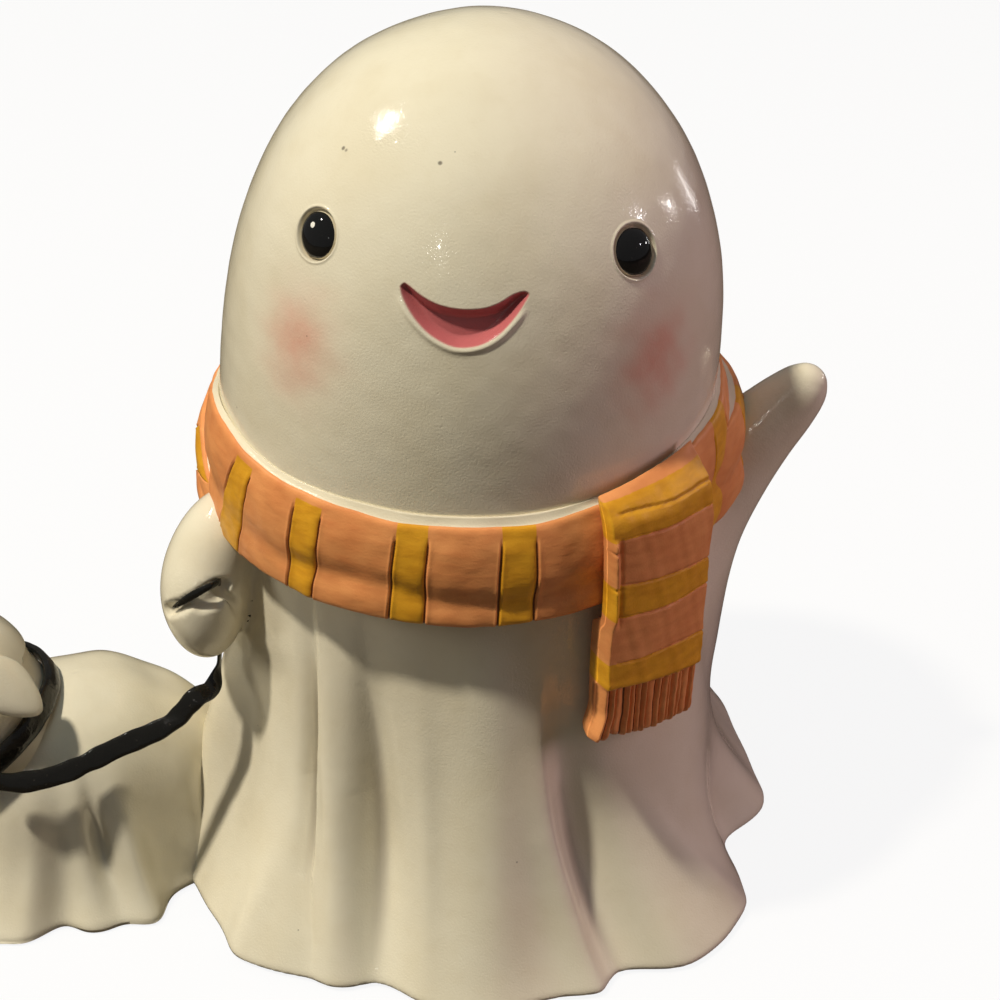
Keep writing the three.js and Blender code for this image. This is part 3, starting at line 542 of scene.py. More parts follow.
class Paint:
    """One material, or the air of the studio, and the makers of its nodes."""

    def __init__(self, name: str, kind: str = "materials") -> None:
        """Starts an empty material, or world where kind says so.

        Args:
            name: what the material is called.
            kind: materials, or worlds for the air.
        """
        self.material = getattr(bpy.data, kind).new(name)
        self.material.use_nodes = True
        self.tree = self.material.node_tree
        self.tree.nodes.clear()

    def node(self, kind: str, settings: dict[str, Any], inputs: dict[Any, Any]) -> bpy.types.Node:
        """Any node, with its settings made before its sockets are fed.

        Args:
            kind: type of node.
            settings: its own settings.
            inputs: what its sockets take, a value or a channel.

        Returns:
            The node.
        """
        made = self.tree.nodes.new(kind)
        for key, value in settings.items():
            setattr(made, key, value)
        for key, value in inputs.items():
            if isinstance(value, Channel):
                self.tree.links.new(value.socket, made.inputs[key])
            else:
                made.inputs[key].default_value = value
        return made

    def place(self) -> Channel:
        """Coordinates of the piece, in metres."""
        return Channel(self, self.node("ShaderNodeTexCoord", {}, {}).outputs["Object"])

    def mask(self, mask: Mask) -> Channel:
        """Values of a mask, 0 where a mesh has none."""
        made = self.node("ShaderNodeAttribute", {"attribute_name": mask.value}, {})
        return Channel(self, made.outputs["Fac"])

    def noise(self, size: float, detail: float = 2.0, stretch: Triple = (1.0, 1.0, 1.0)) -> Channel:
        """Cloudy noise.

        Args:
            size: rough distance between its swells, in millimetres.
            detail: how much finer noise rides on it.
            stretch: how much closer the swells are along each axis.

        Returns:
            Values round 0.5.
        """
        moved = self.node("ShaderNodeVectorMath", {"operation": "MULTIPLY"}, {0: self.place(), 1: stretch})
        spread = Channel(self, moved.outputs[0])
        inputs = {"Vector": spread, "Scale": 1.0 / (size * MM), "Detail": detail}
        return Channel(self, self.node("ShaderNodeTexNoise", {}, inputs).outputs["Fac"])

    def spots(self, size: float) -> Channel:
        """Distance to the nearest of many scattered points.

        Args:
            size: rough distance between the points, in millimetres.

        Returns:
            Distances, 1 being about one size.
        """
        made = self.node("ShaderNodeTexVoronoi", {}, {"Vector": self.place(), "Scale": 1.0 / (size * MM)})
        return Channel(self, made.outputs["Distance"])

    def near(self, point: Array, reach: float) -> Channel:
        """A round place.

        Args:
            point: its middle, in millimetres.
            reach: its radius, in millimetres.

        Returns:
            1 in the middle, 0 outside.
        """
        target = tuple(float(v) * MM for v in point)
        made = self.node("ShaderNodeVectorMath", {"operation": "DISTANCE"}, {0: self.place(), 1: target})
        return 1.0 - Channel(self, made.outputs["Value"]).step(0.3 * reach * MM, reach * MM)

    def blend(self, share: Any, first: Any, second: Any, mode: str = "MIX") -> Channel:
        """Two colours mixed.

        Args:
            share: how much of the second.
            first: colour or channel.
            second: colour or channel.
            mode: way of mixing.

        Returns:
            The mixed colour.
        """
        made = self.node(
            "ShaderNodeMix",
            {"data_type": "RGBA", "blend_type": mode},
            {0: share, 6: first, 7: second},
        )
        return Channel(self, made.outputs[2])

    def bump(self, height: Channel, depth: float, under: Channel | None = None) -> Channel:
        """Normal bent by a height.

        Args:
            height: values of about 0 to 1.
            depth: how high 1 is, in millimetres.
            under: a normal that is already bent.

        Returns:
            The bent normal.
        """
        inputs = {"Height": height, "Distance": depth * MM, "Strength": 1.0}
        if under is not None:
            inputs["Normal"] = under
        return Channel(self, self.node("ShaderNodeBump", {}, inputs).outputs["Normal"])

    def finish(self, tint: Channel, rough: Any, relief: Channel, **constants: float) -> bpy.types.Material:
        """Principled surface that ends the material.

        Args:
            tint: its colour.
            rough: its roughness.
            relief: its normal.
            constants: values that are the same all over, by socket, with _ for a space.

        Returns:
            The material.
        """
        inputs = {"Base Color": tint, "Roughness": rough, "Normal": relief}
        inputs.update({key.replace("_", " "): value for key, value in constants.items()})
        surface = self.node("ShaderNodeBsdfPrincipled", {}, inputs)
        self.node("ShaderNodeOutputMaterial", {}, {"Surface": Channel(self, surface.outputs[0])})
        return self.material


def colour(red: int, green: int, blue: int) -> tuple[float, float, float, float]:
    """Colour as Blender takes it.

    Args:
        red: 0 to 255, as on a screen.
        green: the same.
        blue: the same.

    Returns:
        Linear colour with full cover.
    """
    screen = [value / 255.0 for value in (red, green, blue)]
    linear = [v / 12.92 if v <= 0.04045 else ((v + 0.055) / 1.055) ** 2.4 for v in screen]
    return (linear[0], linear[1], linear[2], 1.0)


# Finishes
@dataclass(frozen=True)
class Glaze:
    """Thick cream-white glaze over the casting, with painted cheeks and mouth, and shade painted into the
    deep folds and the eye gaps.
    """

    cream: tuple = colour(236, 229, 207)
    pooled: tuple = colour(222, 211, 182)
    # brown of the painted shade in the deep folds and the eye gaps
    painted_shade: tuple = colour(96, 78, 62)
    pit: tuple = colour(70, 60, 50)
    cheek: tuple = colour(226, 138, 118)
    mouth: tuple = colour(198, 108, 110)
    roughness: float = 0.07
    pits: tuple = ((-37.4, -41.8, 271.2), (-8.9, -55.9, 271.5), (-36.2, -42.6, 270.6))

    def make(self) -> bpy.types.Material:
        """Builds the material.

        Returns:
            The finished material.
        """
        paint = Paint("white_glaze")
        cloud = paint.noise(26.0).step(0.35, 0.7)
        freckle = paint.noise(5.0, 3.0).step(0.45, 0.75)
        tint = paint.blend(cloud * 0.35 + freckle * 0.12, self.cream, self.pooled)
        # painted shade: the deep folds and the eye gaps are darkened towards brown
        tint = paint.blend(paint.mask(Mask.PAINTED_SHADE) * 0.55, tint, self.painted_shade)
        soft = paint.mask(Mask.BLUSH) * (0.72 + 0.5 * paint.noise(3.0, 4.0))
        tint = paint.blend(soft, tint, self.cheek)
        lips = paint.mask(Mask.MOUTH)
        tint = paint.blend(lips, tint, self.mouth)
        specks = (1.0 - paint.spots(21.0).step(0.012, 0.02)) * 0.6
        for place in self.pits:
            specks = specks | paint.near(place, 0.9)
        tint = paint.blend(specks * 0.75, tint, self.pit)
        peel = paint.noise(0.72, 1.0)
        orange_peel = paint.bump(peel, 0.065)
        dimples = paint.spots(2.2).step(0.0, 0.24)
        orange_peel = paint.bump(dimples, 0.025, orange_peel)
        relief = paint.bump(paint.noise(9.0) - specks * 0.4, 0.12, orange_peel)
        rough = self.roughness + 0.06 * paint.noise(4.0, 3.0) + 0.12 * lips + 0.2 * specks
        return paint.finish(tint, rough, relief, IOR=1.5, Coat_Weight=0.25, Coat_Roughness=0.05)


@dataclass(frozen=True)
class Enamel:
    """Hard black gloss of the eyes, with an unpainted ring and a painted dot."""

    black: tuple = colour(20, 20, 21)
    ring: tuple = colour(226, 217, 192)
    dot: tuple = colour(240, 238, 230)

    def make(self) -> bpy.types.Material:
        """Builds the material.

        Returns:
            The finished material.
        """
        paint = Paint("eye_enamel")
        edge = (paint.mask(Mask.BARE) + 0.12 * (paint.noise(1.4) - 0.5)).step(0.42, 0.58)
        worn = paint.noise(0.9, 3.0).step(0.66, 0.8)
        tint = paint.blend(edge | worn * 0.05, self.black, self.ring)
        spot = (paint.mask(Mask.DOT) + 0.25 * (paint.noise(0.5) - 0.5)).step(0.4, 0.6)
        tint = paint.blend(spot, tint, self.dot)
        wave = paint.bump(paint.noise(2.2, 1.0), 0.05)
        rough = 0.06 + 0.2 * edge + 0.05 * worn
        return paint.finish(tint, rough, wave, IOR=1.52)


@dataclass(frozen=True)
class ScarfPaint:
    """Hand-brushed orange with ochre stripes, brown grooves, brown painted shade between the fringe strands
    and a bare rim.
    """

    orange: tuple = colour(244, 166, 102)
    deep: tuple = colour(214, 126, 72)
    ochre: tuple = colour(238, 174, 44)
    ochre_deep: tuple = colour(206, 138, 28)
    brown: tuple = colour(104, 56, 30)
    bare: tuple = colour(236, 226, 200)

    def make(self) -> bpy.types.Material:
        """Builds the material.

        Returns:
            The finished material.
        """
        paint = Paint("scarf_paint")
        brushed = paint.noise(2.6, 3.0, (0.35, 0.35, 1.0)).step(0.3, 0.7)
        cloud = paint.noise(14.0).step(0.3, 0.75)
        ground = paint.blend(brushed * 0.3 + cloud * 0.35, self.orange, self.deep)
        band = paint.blend(brushed * 0.55, self.ochre, self.ochre_deep)
        ragged = 0.22 * (paint.noise(1.5, 2.0) - 0.5)
        stripe = (paint.mask(Mask.STRIPE) + ragged).step(0.4, 0.6)
        tint = paint.blend(stripe, ground, band)
        # the groove mask also holds painted shade in the gaps between the fringe strands
        groove = (paint.mask(Mask.GROOVE_AND_GAP_SHADE) + ragged).step(0.35, 0.75)
        tint = paint.blend(groove * 0.85, tint, self.brown)
        bare = (paint.mask(Mask.BARE) + 0.5 * ragged).step(0.4, 0.6)
        tint = paint.blend(bare, tint, self.bare)
        grain = paint.bump(paint.noise(0.7, 2.0), 0.06)
        relief = paint.bump(brushed, 0.05, grain)
        rough = 0.5 - 0.12 * paint.noise(3.5, 2.0) - 0.22 * bare
        return paint.finish(tint, rough, relief, Coat_Weight=0.12, Coat_Roughness=0.3)


@dataclass(frozen=True)
class StrapPaint:
    """Thick black gloss brushed over the strap."""

    black: tuple = colour(24, 23, 20)
    worn: tuple = colour(70, 64, 54)

    def make(self) -> bpy.types.Material:
        """Builds the material.

        Returns:
            The finished material.
        """
        paint = Paint("strap_paint")
        worn = paint.noise(1.6, 4.0).step(0.62, 0.8)
        tint = paint.blend(worn * 0.4, self.black, self.worn)
        relief = paint.bump(paint.noise(1.8, 2.0), 0.22)
        return paint.finish(tint, 0.16 + 0.2 * worn, relief)


@dataclass(frozen=True)
class BareCasting:
    """Raw resin of the closing plates."""

    resin: tuple = colour(214, 205, 184)
    dust: tuple = colour(168, 156, 132)

    def make(self) -> bpy.types.Material:
        """Builds the material.

        Returns:
            The finished material.
        """
        paint = Paint("bare_casting")
        cloud = paint.noise(12.0, 4.0).step(0.35, 0.7)
        holes = 1.0 - paint.spots(3.4).step(0.06, 0.1)
        tint = paint.blend(cloud * 0.6 + holes * 0.4, self.resin, self.dust)
        relief = paint.bump(paint.noise(1.2, 3.0) - holes * 0.6, 0.12)
        return paint.finish(tint, 0.72 + 0.1 * cloud, relief)


@dataclass(frozen=True)
class Felt:
    """Pressed grey felt under the feet."""

    pale: tuple = colour(132, 128, 120)
    dark: tuple = colour(88, 84, 78)

    def make(self) -> bpy.types.Material:
        """Builds the material.

        Returns:
            The finished material.
        """
        paint = Paint("pressed_felt")
        hairs = paint.noise(0.5, 5.0, (1.0, 0.3, 1.0)).step(0.35, 0.65)
        crossed = paint.noise(0.6, 5.0, (0.3, 1.0, 1.0)).step(0.35, 0.65)
        tint = paint.blend(hairs * 0.5 + crossed * 0.4, self.dark, self.pale)
        relief = paint.bump(hairs + crossed, 0.15)
        return paint.finish(tint, 0.95, relief, Sheen_Weight=0.3, Sheen_Roughness=0.6)


@dataclass
class Finishes:
    """All finishes, made once."""

    glaze: bpy.types.Material = field(default_factory=lambda: Glaze().make())
    enamel: bpy.types.Material = field(default_factory=lambda: Enamel().make())
    scarf: bpy.types.Material = field(default_factory=lambda: ScarfPaint().make())
    strap: bpy.types.Material = field(default_factory=lambda: StrapPaint().make())
    casting: bpy.types.Material = field(default_factory=lambda: BareCasting().make())
    felt: bpy.types.Material = field(default_factory=lambda: Felt().make())


# Sheet round the body, with its arms
@dataclass(frozen=True)
class Fold:
    """One fold of a sheet: its line, its half widths in degrees and how far it stands out."""

    line: tuple
    left: float
    right: float
    out: float
    level: float
    reach: float

    def relief(self, azimuth: Array, height: Array) -> Array:
        """Height of the fold at each place.

        Args:
            azimuth: round the row, in degrees.
            height: above the ground, in millimetres.

        Returns:
            Millimetres outward.
        """
        levels, azimuths = zip(*self.line)
        across = turn(np.interp(height, levels, azimuths), azimuth)
        width = np.where(across < 0.0, self.left, self.right)
        return self.out * hump(across / width) * hump((height - self.level) / self.reach)


def straight(azimuth: float, lean: float, width: float, out: float, level: float, reach: float) -> Fold:
    """Fold of even width along a straight line.

    Args:
        azimuth: where it is at the hem.
        lean: turn over 100 mm of height.
        width: half width in degrees.
        out: height out of the sheet.
        level: where it is fullest.
        reach: how far it fades.

    Returns:
        The fold.
    """
    return Fold(((0.0, azimuth), (200.0, azimuth + 2.0 * lean)), width, width, out, level, reach)


@dataclass(frozen=True)
class Limb:
    """Round limb along a path of sections, each with half sizes across and deep."""

    root: Triple
    stops: tuple
    count: int = 84

    def beads(self) -> list[tuple[Array, Array, Array]]:
        """Middles, axes and half sizes of the ovals that make it up.

        Returns:
            A middle, three axes and three half sizes for each oval.
        """
        stops = np.array([(*at, across, deep) for at, across, deep in self.stops], float)
        path = curve_through(stops, self.count)
        middles = path[:, :3] + np.array(self.root)
        tangents = np.gradient(middles, axis=0)
        made = []
        for middle, tangent, (across, deep) in zip(middles, tangents, path[:, 3:]):
            ahead = unit(tangent)
            back = unit(np.array([0.0, 1.0, 0.0]) - ahead[1] * ahead)
            axes = np.stack([np.cross(back, ahead), back, ahead])
            made.append((middle, axes, np.array([across, deep, 0.5 * (across + deep)])))
        return made

    def shape(self, points: Array) -> Array:
        """Field of the limb.

        Args:
            points: places.

        Returns:
            Distances, negative inside.
        """
        beads = self.beads()
        middles = np.array([middle for middle, _, _ in beads])
        margin = 22.0 + max(half.max() for _, _, half in beads)
        low, high = middles.min(axis=0) - margin, middles.max(axis=0) + margin
        close = np.all((points > low) & (points < high), axis=1)
        near = points[close]
        least = np.full(len(near), 1e3)
        for middle, axes, half in beads:
            share = np.linalg.norm((near - middle) @ axes.T / half, axis=1)
            least = np.minimum(least, (share - 1.0) * half.min())
        nearest = np.full(len(points), 1e3)
        nearest[close] = least
        return nearest


def tube(points: Array, path: Array, radius: float) -> Array:
    """Field of a round tube along a path.

    Args:
        points: places.
        path: corners of the path.
        radius: of the tube.

    Returns:
        Distances, negative inside.
    """
    nearest = np.full(len(points), 1e3)
    for start, end in zip(path[:-1], path[1:]):
        side = end - start
        share = np.clip((points - start) @ side / (side @ side), 0.0, 1.0)
        nearest = np.minimum(nearest, np.linalg.norm(points - start - share[:, None] * side, axis=1))
    return nearest - radius


@dataclass
class Figure:
    """Draped sheet of the ghost, modelled in one with both arms and then parted at their roots."""

    flare: float = 36.0
    flare_height: float = 50.0
    wall: float = 6.0
    foot_depth: float = 6.2
    cell: float = 1.15
    fillet: float = 13.0
    folds: tuple = (
        straight(-78, 4, 13, 12, 35, 75),
        straight(-44, -3, 15, 10.5, 0, 36),
        Fold(
            ((0, -29), (13, -31), (30, -35.5), (60, -39.4), (97, -41), (130, -41.5)), 3.0, 1.2, -6.5, 64, 36
        ),
        Fold(((0, -24.5), (16, -26.5), (71, -34.5), (120, -37.5)), 3.4, 4.5, 3.4, 50, 60),
        straight(-62, -2, 6.5, -4.0, 55, 32),
        Fold(((1, -18), (27, -20.5), (61, -23.6), (100, -25.5)), 3.8, 6.5, -9.5, 48, 52),
        Fold(((0, 2), (50, 3.5), (100, 4.5)), 11.0, 9.0, 6.0, 36, 78),
        straight(-9, -3, 3.0, 1.2, 40, 50),
        Fold(((1, 21.4), (28, 19), (53, 16), (79, 14.4), (110, 14)), 5.0, 2.2, 4.0, 34, 50),
        Fold(((1, 27.5), (27, 24), (63, 21), (100, 20)), 3.6, 7.0, -8.0, 38, 48),
        straight(44, -6, 15, 7.5, 0, 40),
        Fold(((0, 57.5), (18, 51.5), (43, 42.5), (70, 36)), 4.5, 2.6, 2.2, 20, 26),
        straight(37, -3, 5, 1.6, 6, 18),
        straight(-43.5, -2, 3.2, 1.8, 14, 18),
        straight(-50, 0, 7, -2.6, 0, 24),
        straight(72, 0, 9.5, -14, 3, 34),
        straight(87, 0, 6, 1.5, 6, 22),
        straight(101, 0, 18, -8, 42, 38),
        straight(124, 3, 12, 6, 0, 70),
        straight(140, 3, 8, -5, 10, 70),
        straight(160, 2, 11, 7, 0, 70),
        straight(180, 0, 8, -5, 10, 70),
        straight(200, -2, 11, 8, 0, 70),
        straight(222, -3, 9, -6, 10, 70),
        straight(244, -3, 12, 8, 0, 70),
    )
    raised: Limb = Limb(
        (72.0, 8.0, 125.0),
        (
            ((-26, 1, -37), 43, 29),
            ((-13, 0, -17), 33, 27),
            ((0, 0, 0), 24.4, 22.4),
            ((13, -1, 16), 18, 17.2),
            ((24, -2, 29), 13.8, 13.1),
            ((32.8, -2, 39), 11.4, 10.3),
            ((37.6, -2.5, 45), 9.3, 8.5),
            ((39.4, -3, 48), 7.4, 6.6),
        ),
    )
    mitt: Limb = Limb(
        (-76.0, -22.0, 138.0),
        (
            ((10, 6, -1), 10, 10),
            ((0, 0, 0), 12, 12),
            ((-8, -6, -4), 13.5, 14),
            ((-13.5, -11, -14), 14.4, 16),
            ((-15, -15.2, -22.5), 14, 16.6),
            ((-14.6, -16.2, -30), 12, 15),
            ((-14, -16, -35), 8.6, 10.8),
        ),
    )
    slit: tuple = (
        ((-101, -48, 116), (-96, -52.5, 120.5), (-91, -53, 123.8), (-85, -50, 126), (-82.5, -46.5, 125)),
        2.2,
        1.8,
    )
    pocket: tuple = (((-89, -53, 121.5), (-84.5, -50.5, 121.8)), 2.2, 2.2)
    crease: tuple = (((-85, -47, 124), (-80.5, -46, 119), (-77, -45, 113)), 1.3, 2.4)
    low: Triple = (-126.0, -118.0, -2.0)
    high: Triple = (122.0, 120.0, 184.0)

    def sheet(self, azimuth: Array, height: Array) -> Array:
        """Radius of the sheet at an azimuth and height.

        Args:
            azimuth: round the row, in degrees.
            height: above the ground, in millimetres.

        Returns:
            Distance from the axis.
        """
        radius = NECK_RADIUS + self.flare * np.exp(-height / self.flare_height)
        for fold in self.folds:
            radius = radius + fold.relief(azimuth, height)
        return radius

    def trunk(self, points: Array) -> Array:
        """Field of the sheet without arms.

        Args:
            points: places.

        Returns:
            Distances, negative inside.
        """
        radius = np.hypot(points[:, 0], points[:, 1])
        azimuth = np.degrees(np.arctan2(points[:, 0], -points[:, 1]))
        out = 0.92 * (radius - self.sheet(azimuth, points[:, 2]))
        return out + 0.22 * ripple(points, 34.0, 3)

    def hand(self, points: Array) -> Array:
        """Field of the mitt, with the slit that the strap goes into, its pocket and a crease.

        Args:
            points: places.

        Returns:
            Distances, negative inside.
        """
        fist = self.mitt.shape(points)
        for path, radius, reach in (self.slit, self.pocket, self.crease):
            fist = soft_cut(fist, tube(points, np.array(path), radius), reach)
        return fist

    def shape(self, points: Array) -> Array:
        """Field of the sheet with both arms, hem and foot.

        Args:
            points: places.

        Returns:
            Distances, negative inside.
        """
        height = points[:, 2]
        trunk = np.maximum(self.trunk(points), height - NECK_SEAT)
        whole = soft_join(trunk, self.raised.shape(points), self.fillet)
        whole = soft_join(whole, self.hand(points), 0.55 * self.fillet)
        whole = -soft_join(-whole, height - HEM_LIFT, 4.0)
        foot = np.maximum(self.trunk(points) + self.wall, height - self.foot_depth)
        return soft_cut(whole, foot, 1.0)

    def painted_shade(self, points: Array) -> Array:
        """How much painted shade darkens the deep folds.

        Args:
            points: places on the sheet.

        Returns:
            From 0 where no shade is painted to 1.
        """
        azimuth = np.degrees(np.arctan2(points[:, 0], -points[:, 1]))
        # painted shade: how far the sheet lies below the mean of its neighbours 3 degrees to either side
        depth = self.sheet(azimuth - 3.0, points[:, 2]) + self.sheet(azimuth + 3.0, points[:, 2])
        return smooth(0.5 * depth - self.sheet(azimuth, points[:, 2]), 1.2, 5.0)

    def build(self, finishes: Finishes) -> list[bpy.types.Object]:
        """Makes the sheet and both arms.

        Args:
            finishes: all finishes.

        Returns:
            The three pieces.
        """
        points, quads = wrap_field(self.shape, self.low, self.high, self.cell)
        points, facing = settle(self.shape, points)
        middles = points[quads].mean(axis=1)
        trunk = self.trunk(middles)
        right, left = self.raised.shape(middles), self.mitt.shape(middles)
        owner = np.where((right < trunk) & (middles[:, 0] > 0.0), 1, 0)
        owner = np.where((left < trunk) & (middles[:, 0] < 0.0), 2, owner)
        # painted shade in the deep folds
        painted_shade = self.painted_shade(points)
        pieces = []
        for number, node in enumerate(("body_shell", "raised_arm", "leash_arm")):
            piece = self.part(node, points, quads[owner == number], facing, painted_shade)
            mount(piece, node, Slot.GLAZE, finishes.glaze)
            pieces.append(piece)
        return pieces

    def part(self, node: str, points: Array, quads: Array, facing: Array, painted_shade: Array) -> bpy.types.Object:
        """One closed piece of the whole, capped where it meets its neighbour.

        Args:
            node: the CAD node that it stands for.
            points: points of the whole.
            quads: its own faces.
            facing: normals of the whole.
            painted_shade: painted shade at each point.

        Returns:
            The piece.
        """
        used, flat = np.unique(quads, return_inverse=True)
        own = flat.reshape(quads.shape)
        sides = np.concatenate([own[:, [k, (k + 1) % 4]] for k in range(4)])
        forward = sides[:, 0] * len(used) + sides[:, 1]
        backward = sides[:, 1] * len(used) + sides[:, 0]
        edge = sides[~np.isin(forward, backward)]
        place, way, painted_shade_share = points[used], facing[used], painted_shade[used]
        tip = place[edge.ravel()].mean(axis=0)
        way_in = -way[edge.ravel()].mean(axis=0)
        place = np.vstack([place, tip + 2.0 * way_in])
        way = np.vstack([way, way_in])
        caps = np.stack([edge[:, 1], edge[:, 0], np.full(len(edge), len(used))], axis=1)
        # the painted shade goes on each point as a mask
        return make_piece(f"glazed_{node}", place, [own, caps], {Mask.PAINTED_SHADE: np.append(painted_shade_share, 0.0)}, way)


# Head with its painted face
@dataclass(frozen=True)
class Dome:
    """Tall dome of the head, leaning a little to the viewer's right."""

    radius: float = 82.1
    rise: float = 134.5
    side_power: float = 1.075
    rise_power: float = 0.668
    lean: float = 5.75
    offset: float = -4.1

    def angle(self, height: Array) -> Array:
        """Curve angle at a height on the dome."""
        return np.arcsin(np.clip(np.asarray(height) / self.rise, 0.0, 1.0) ** (1.0 / self.rise_power))

    def point(self, azimuth: Array, angle: Array) -> tuple[Array, Array]:
        """Place on the dome and the way it faces, before the dome leans.

        Args:
            azimuth: degrees.
            angle: curve angle, 0 at the foot and a quarter turn at the top.

        Returns:
            Points and normals.
        """
        side, lift = np.cos(angle), np.maximum(np.sin(angle), 1e-5)
        radius = self.radius * side**self.side_power
        height = self.rise * lift**self.rise_power
        inward = self.radius * self.side_power * lift * np.maximum(side, 1e-5) ** (self.side_power - 1.0)
        upward = self.rise * self.rise_power * side * lift ** (self.rise_power - 1.0)
        facing = around(upward, azimuth, inward)
        return around(radius, azimuth, height), facing / np.linalg.norm(facing, axis=-1)[..., None]

    def leaned(self, points: Array) -> Array:
        """Points of the head's own frame in the row frame.

        Args:
            points: places in the head's own frame.

        Returns:
            The same places, leaned and put on the neck.
        """
        angle = math.radians(self.lean)
        x = points[..., 0] * math.cos(angle) + points[..., 2] * math.sin(angle)
        z = points[..., 2] * math.cos(angle) - points[..., 0] * math.sin(angle)
        return np.stack([x, points[..., 1], z], axis=-1) + np.array([self.offset, 0.0, NECK_LINE])


@dataclass(frozen=True)
class Spot:
    """Place on the dome, by azimuth and height, with a roll about the way it faces."""

    azimuth: float
    height: float
    roll: float = 0.0

    def axes(self, dome: Dome) -> tuple[Array, Array]:
        """Middle and the right, up and outward axes, in the head's own frame.

        Args:
            dome: the head that the spot is on.

        Returns:
            The middle, and the three axes as rows.
        """
        place, out = dome.point(np.array(self.azimuth), dome.angle(self.height))
        right = around(1.0, np.array(self.azimuth + 90.0), 0.0)
        up = np.cross(out, right)
        angle = math.radians(self.roll)
        cosine, sine = math.cos(angle), math.sin(angle)
        return place, np.stack([cosine * right + sine * up, cosine * up - sine * right, out])

    def flat(self, dome: Dome, points: Array) -> Array:
        """Places measured from the spot: right, up and out."""
        place, axes = self.axes(dome)
        return (points - place) @ axes.T


@dataclass(frozen=True)
class Eye:
    """Domed eye in its socket."""

    node: str
    spot: Spot
    half_width: float
    half_height: float
    socket_width: float
    socket_height: float
    half_depth: float = 3.7
    sunk: float = 2.1
    socket_depth: float = 2.0
    painted: float = 0.93
    dot: tuple | None = None

    def press(self, dome: Dome, points: Array) -> tuple[Array, Array]:
        """How far the head's surface stands out round the eye, and where shade is painted in its gap.

        Args:
            dome: the head that the eye is in.
            points: places in the head's own frame.

        Returns:
            Millimetres outward, and painted shade from 0 to 1.
        """
        flat = self.spot.flat(dome, points)
        share = np.hypot(flat[..., 0] / self.socket_width, flat[..., 1] / self.socket_height)
        share = np.where(flat[..., 2] > -12.0, share, 9.0)
        hollow = -self.socket_depth * (1.0 - smooth(share, 0.92, 1.01))
        # the second value is painted shade, strongest in the gap between the eye and the socket wall
        return hollow + 0.3 * hump((share - 1.06) / 0.045), hump((share - 0.88) / 0.11)

    def build(self, dome: Dome, finishes: Finishes) -> bpy.types.Object:
        """Makes the eye.

        Args:
            dome: the head's dome.
            finishes: all finishes.

        Returns:
            The piece.
        """
        flat, faces = ball(40, 72)
        edge = np.hypot(flat[:, 0], flat[:, 1])
        flat[:, :2] *= np.maximum(edge, 1e-3)[:, None] ** -0.1
        front = flat[:, 2] > 0.0
        bare = np.where(front, smooth(edge, self.painted - 0.04, self.painted + 0.04), 1.0)
        local = flat * np.array([self.half_width, self.half_height, self.half_depth])
        local[:, 2] -= 0.25 * smooth(edge, self.painted, self.painted + 0.05) * front + self.sunk
        local[:, :2] += 0.1 * ripple(local, 7.0, 11)[:, None] * edge[:, None]
        dot = np.zeros(len(flat))
        if self.dot:
            x, y, half = self.dot
            away = np.hypot(local[:, 0] - x, (local[:, 1] - y) * 0.87) / half
            dot = (1.0 - smooth(away, 0.6, 1.3)) * front
        place, axes = self.spot.axes(dome)
        points = dome.leaned(place + local @ axes)
        piece = make_piece(f"enamel_{self.node}", points, faces, {Mask.BARE: bare, Mask.DOT: dot})
        mount(piece, self.node, Slot.ENAMEL, finishes.enamel)
        return piece


@dataclass(frozen=True)
class Mouth:
    """Smiling pocket, sharp under its upper lip, with a sloping wall and a thick lip below."""

    spot: Spot = Spot(-4.5, 74.0)
    outline: tuple = (
        (-18.0, -0.6), (-17.0, 0.6), (-15.4, 0.0), (-12.3, -1.9), (-8.1, -3.7), (-4.0, -4.5),
        (1.7, -4.5), (7.0, -3.4), (10.7, -1.5), (14.4, 1.3), (17.4, 2.4), (18.6, 1.8), (17.6, -1.2),
        (15.2, -5.7), (11.8, -10.3), (8.2, -13.3), (4.0, -15.1), (-1.0, -15.6), (-7.1, -13.5),
        (-11.4, -10.4), (-14.9, -6.6), (-17.3, -2.8),
    )
    upper_from: int = 1
    upper_to: int = 11
    depth: float = 3.7
    slope: float = 2.8

    def press(self, dome: Dome, points: Array) -> tuple[Array, Array]:
        """How far the surface stands out, and where it is painted.

        Args:
            dome: the head that the mouth is in.
            points: places in the head's own frame.

        Returns:
            Millimetres outward, and paint from 0 to 1.
        """
        flat = self.spot.flat(dome, points)
        near = (np.abs(flat[..., 0]) < 25.0) & (np.abs(flat[..., 1] + 6.0) < 17.0) & (flat[..., 2] > -12.0)
        corners = np.array(self.outline)
        loop = curve_through(np.vstack([corners, corners[:1]]), 160)[:-1]
        places = flat[near][:, :2]
        inside = outline_distance(places, loop)
        lip = curve_through(corners[self.upper_from : self.upper_to + 1], 60)
        above = np.min(np.linalg.norm(places[:, None, :] - lip[None, :, :], axis=2), axis=1)
        wall = np.clip(inside / self.slope, 0.0, 1.0)
        depth = np.minimum(wall - 0.12 * hump((wall - 1.0) / 0.2), smooth(above, -0.1, 0.9)) * self.depth
        below = smooth(above, 3.0, 8.0)
        stand = np.where(inside > 0.0, -np.maximum(depth, 0.0), 0.0)
        stand += 0.6 * below * hump((inside + 1.0) / 0.95)
        press = np.zeros(flat.shape[:-1])
        paint = np.zeros(flat.shape[:-1])
        press[near] = stand
        paint[near] = smooth(inside, -0.3, 0.2)
        return press, paint


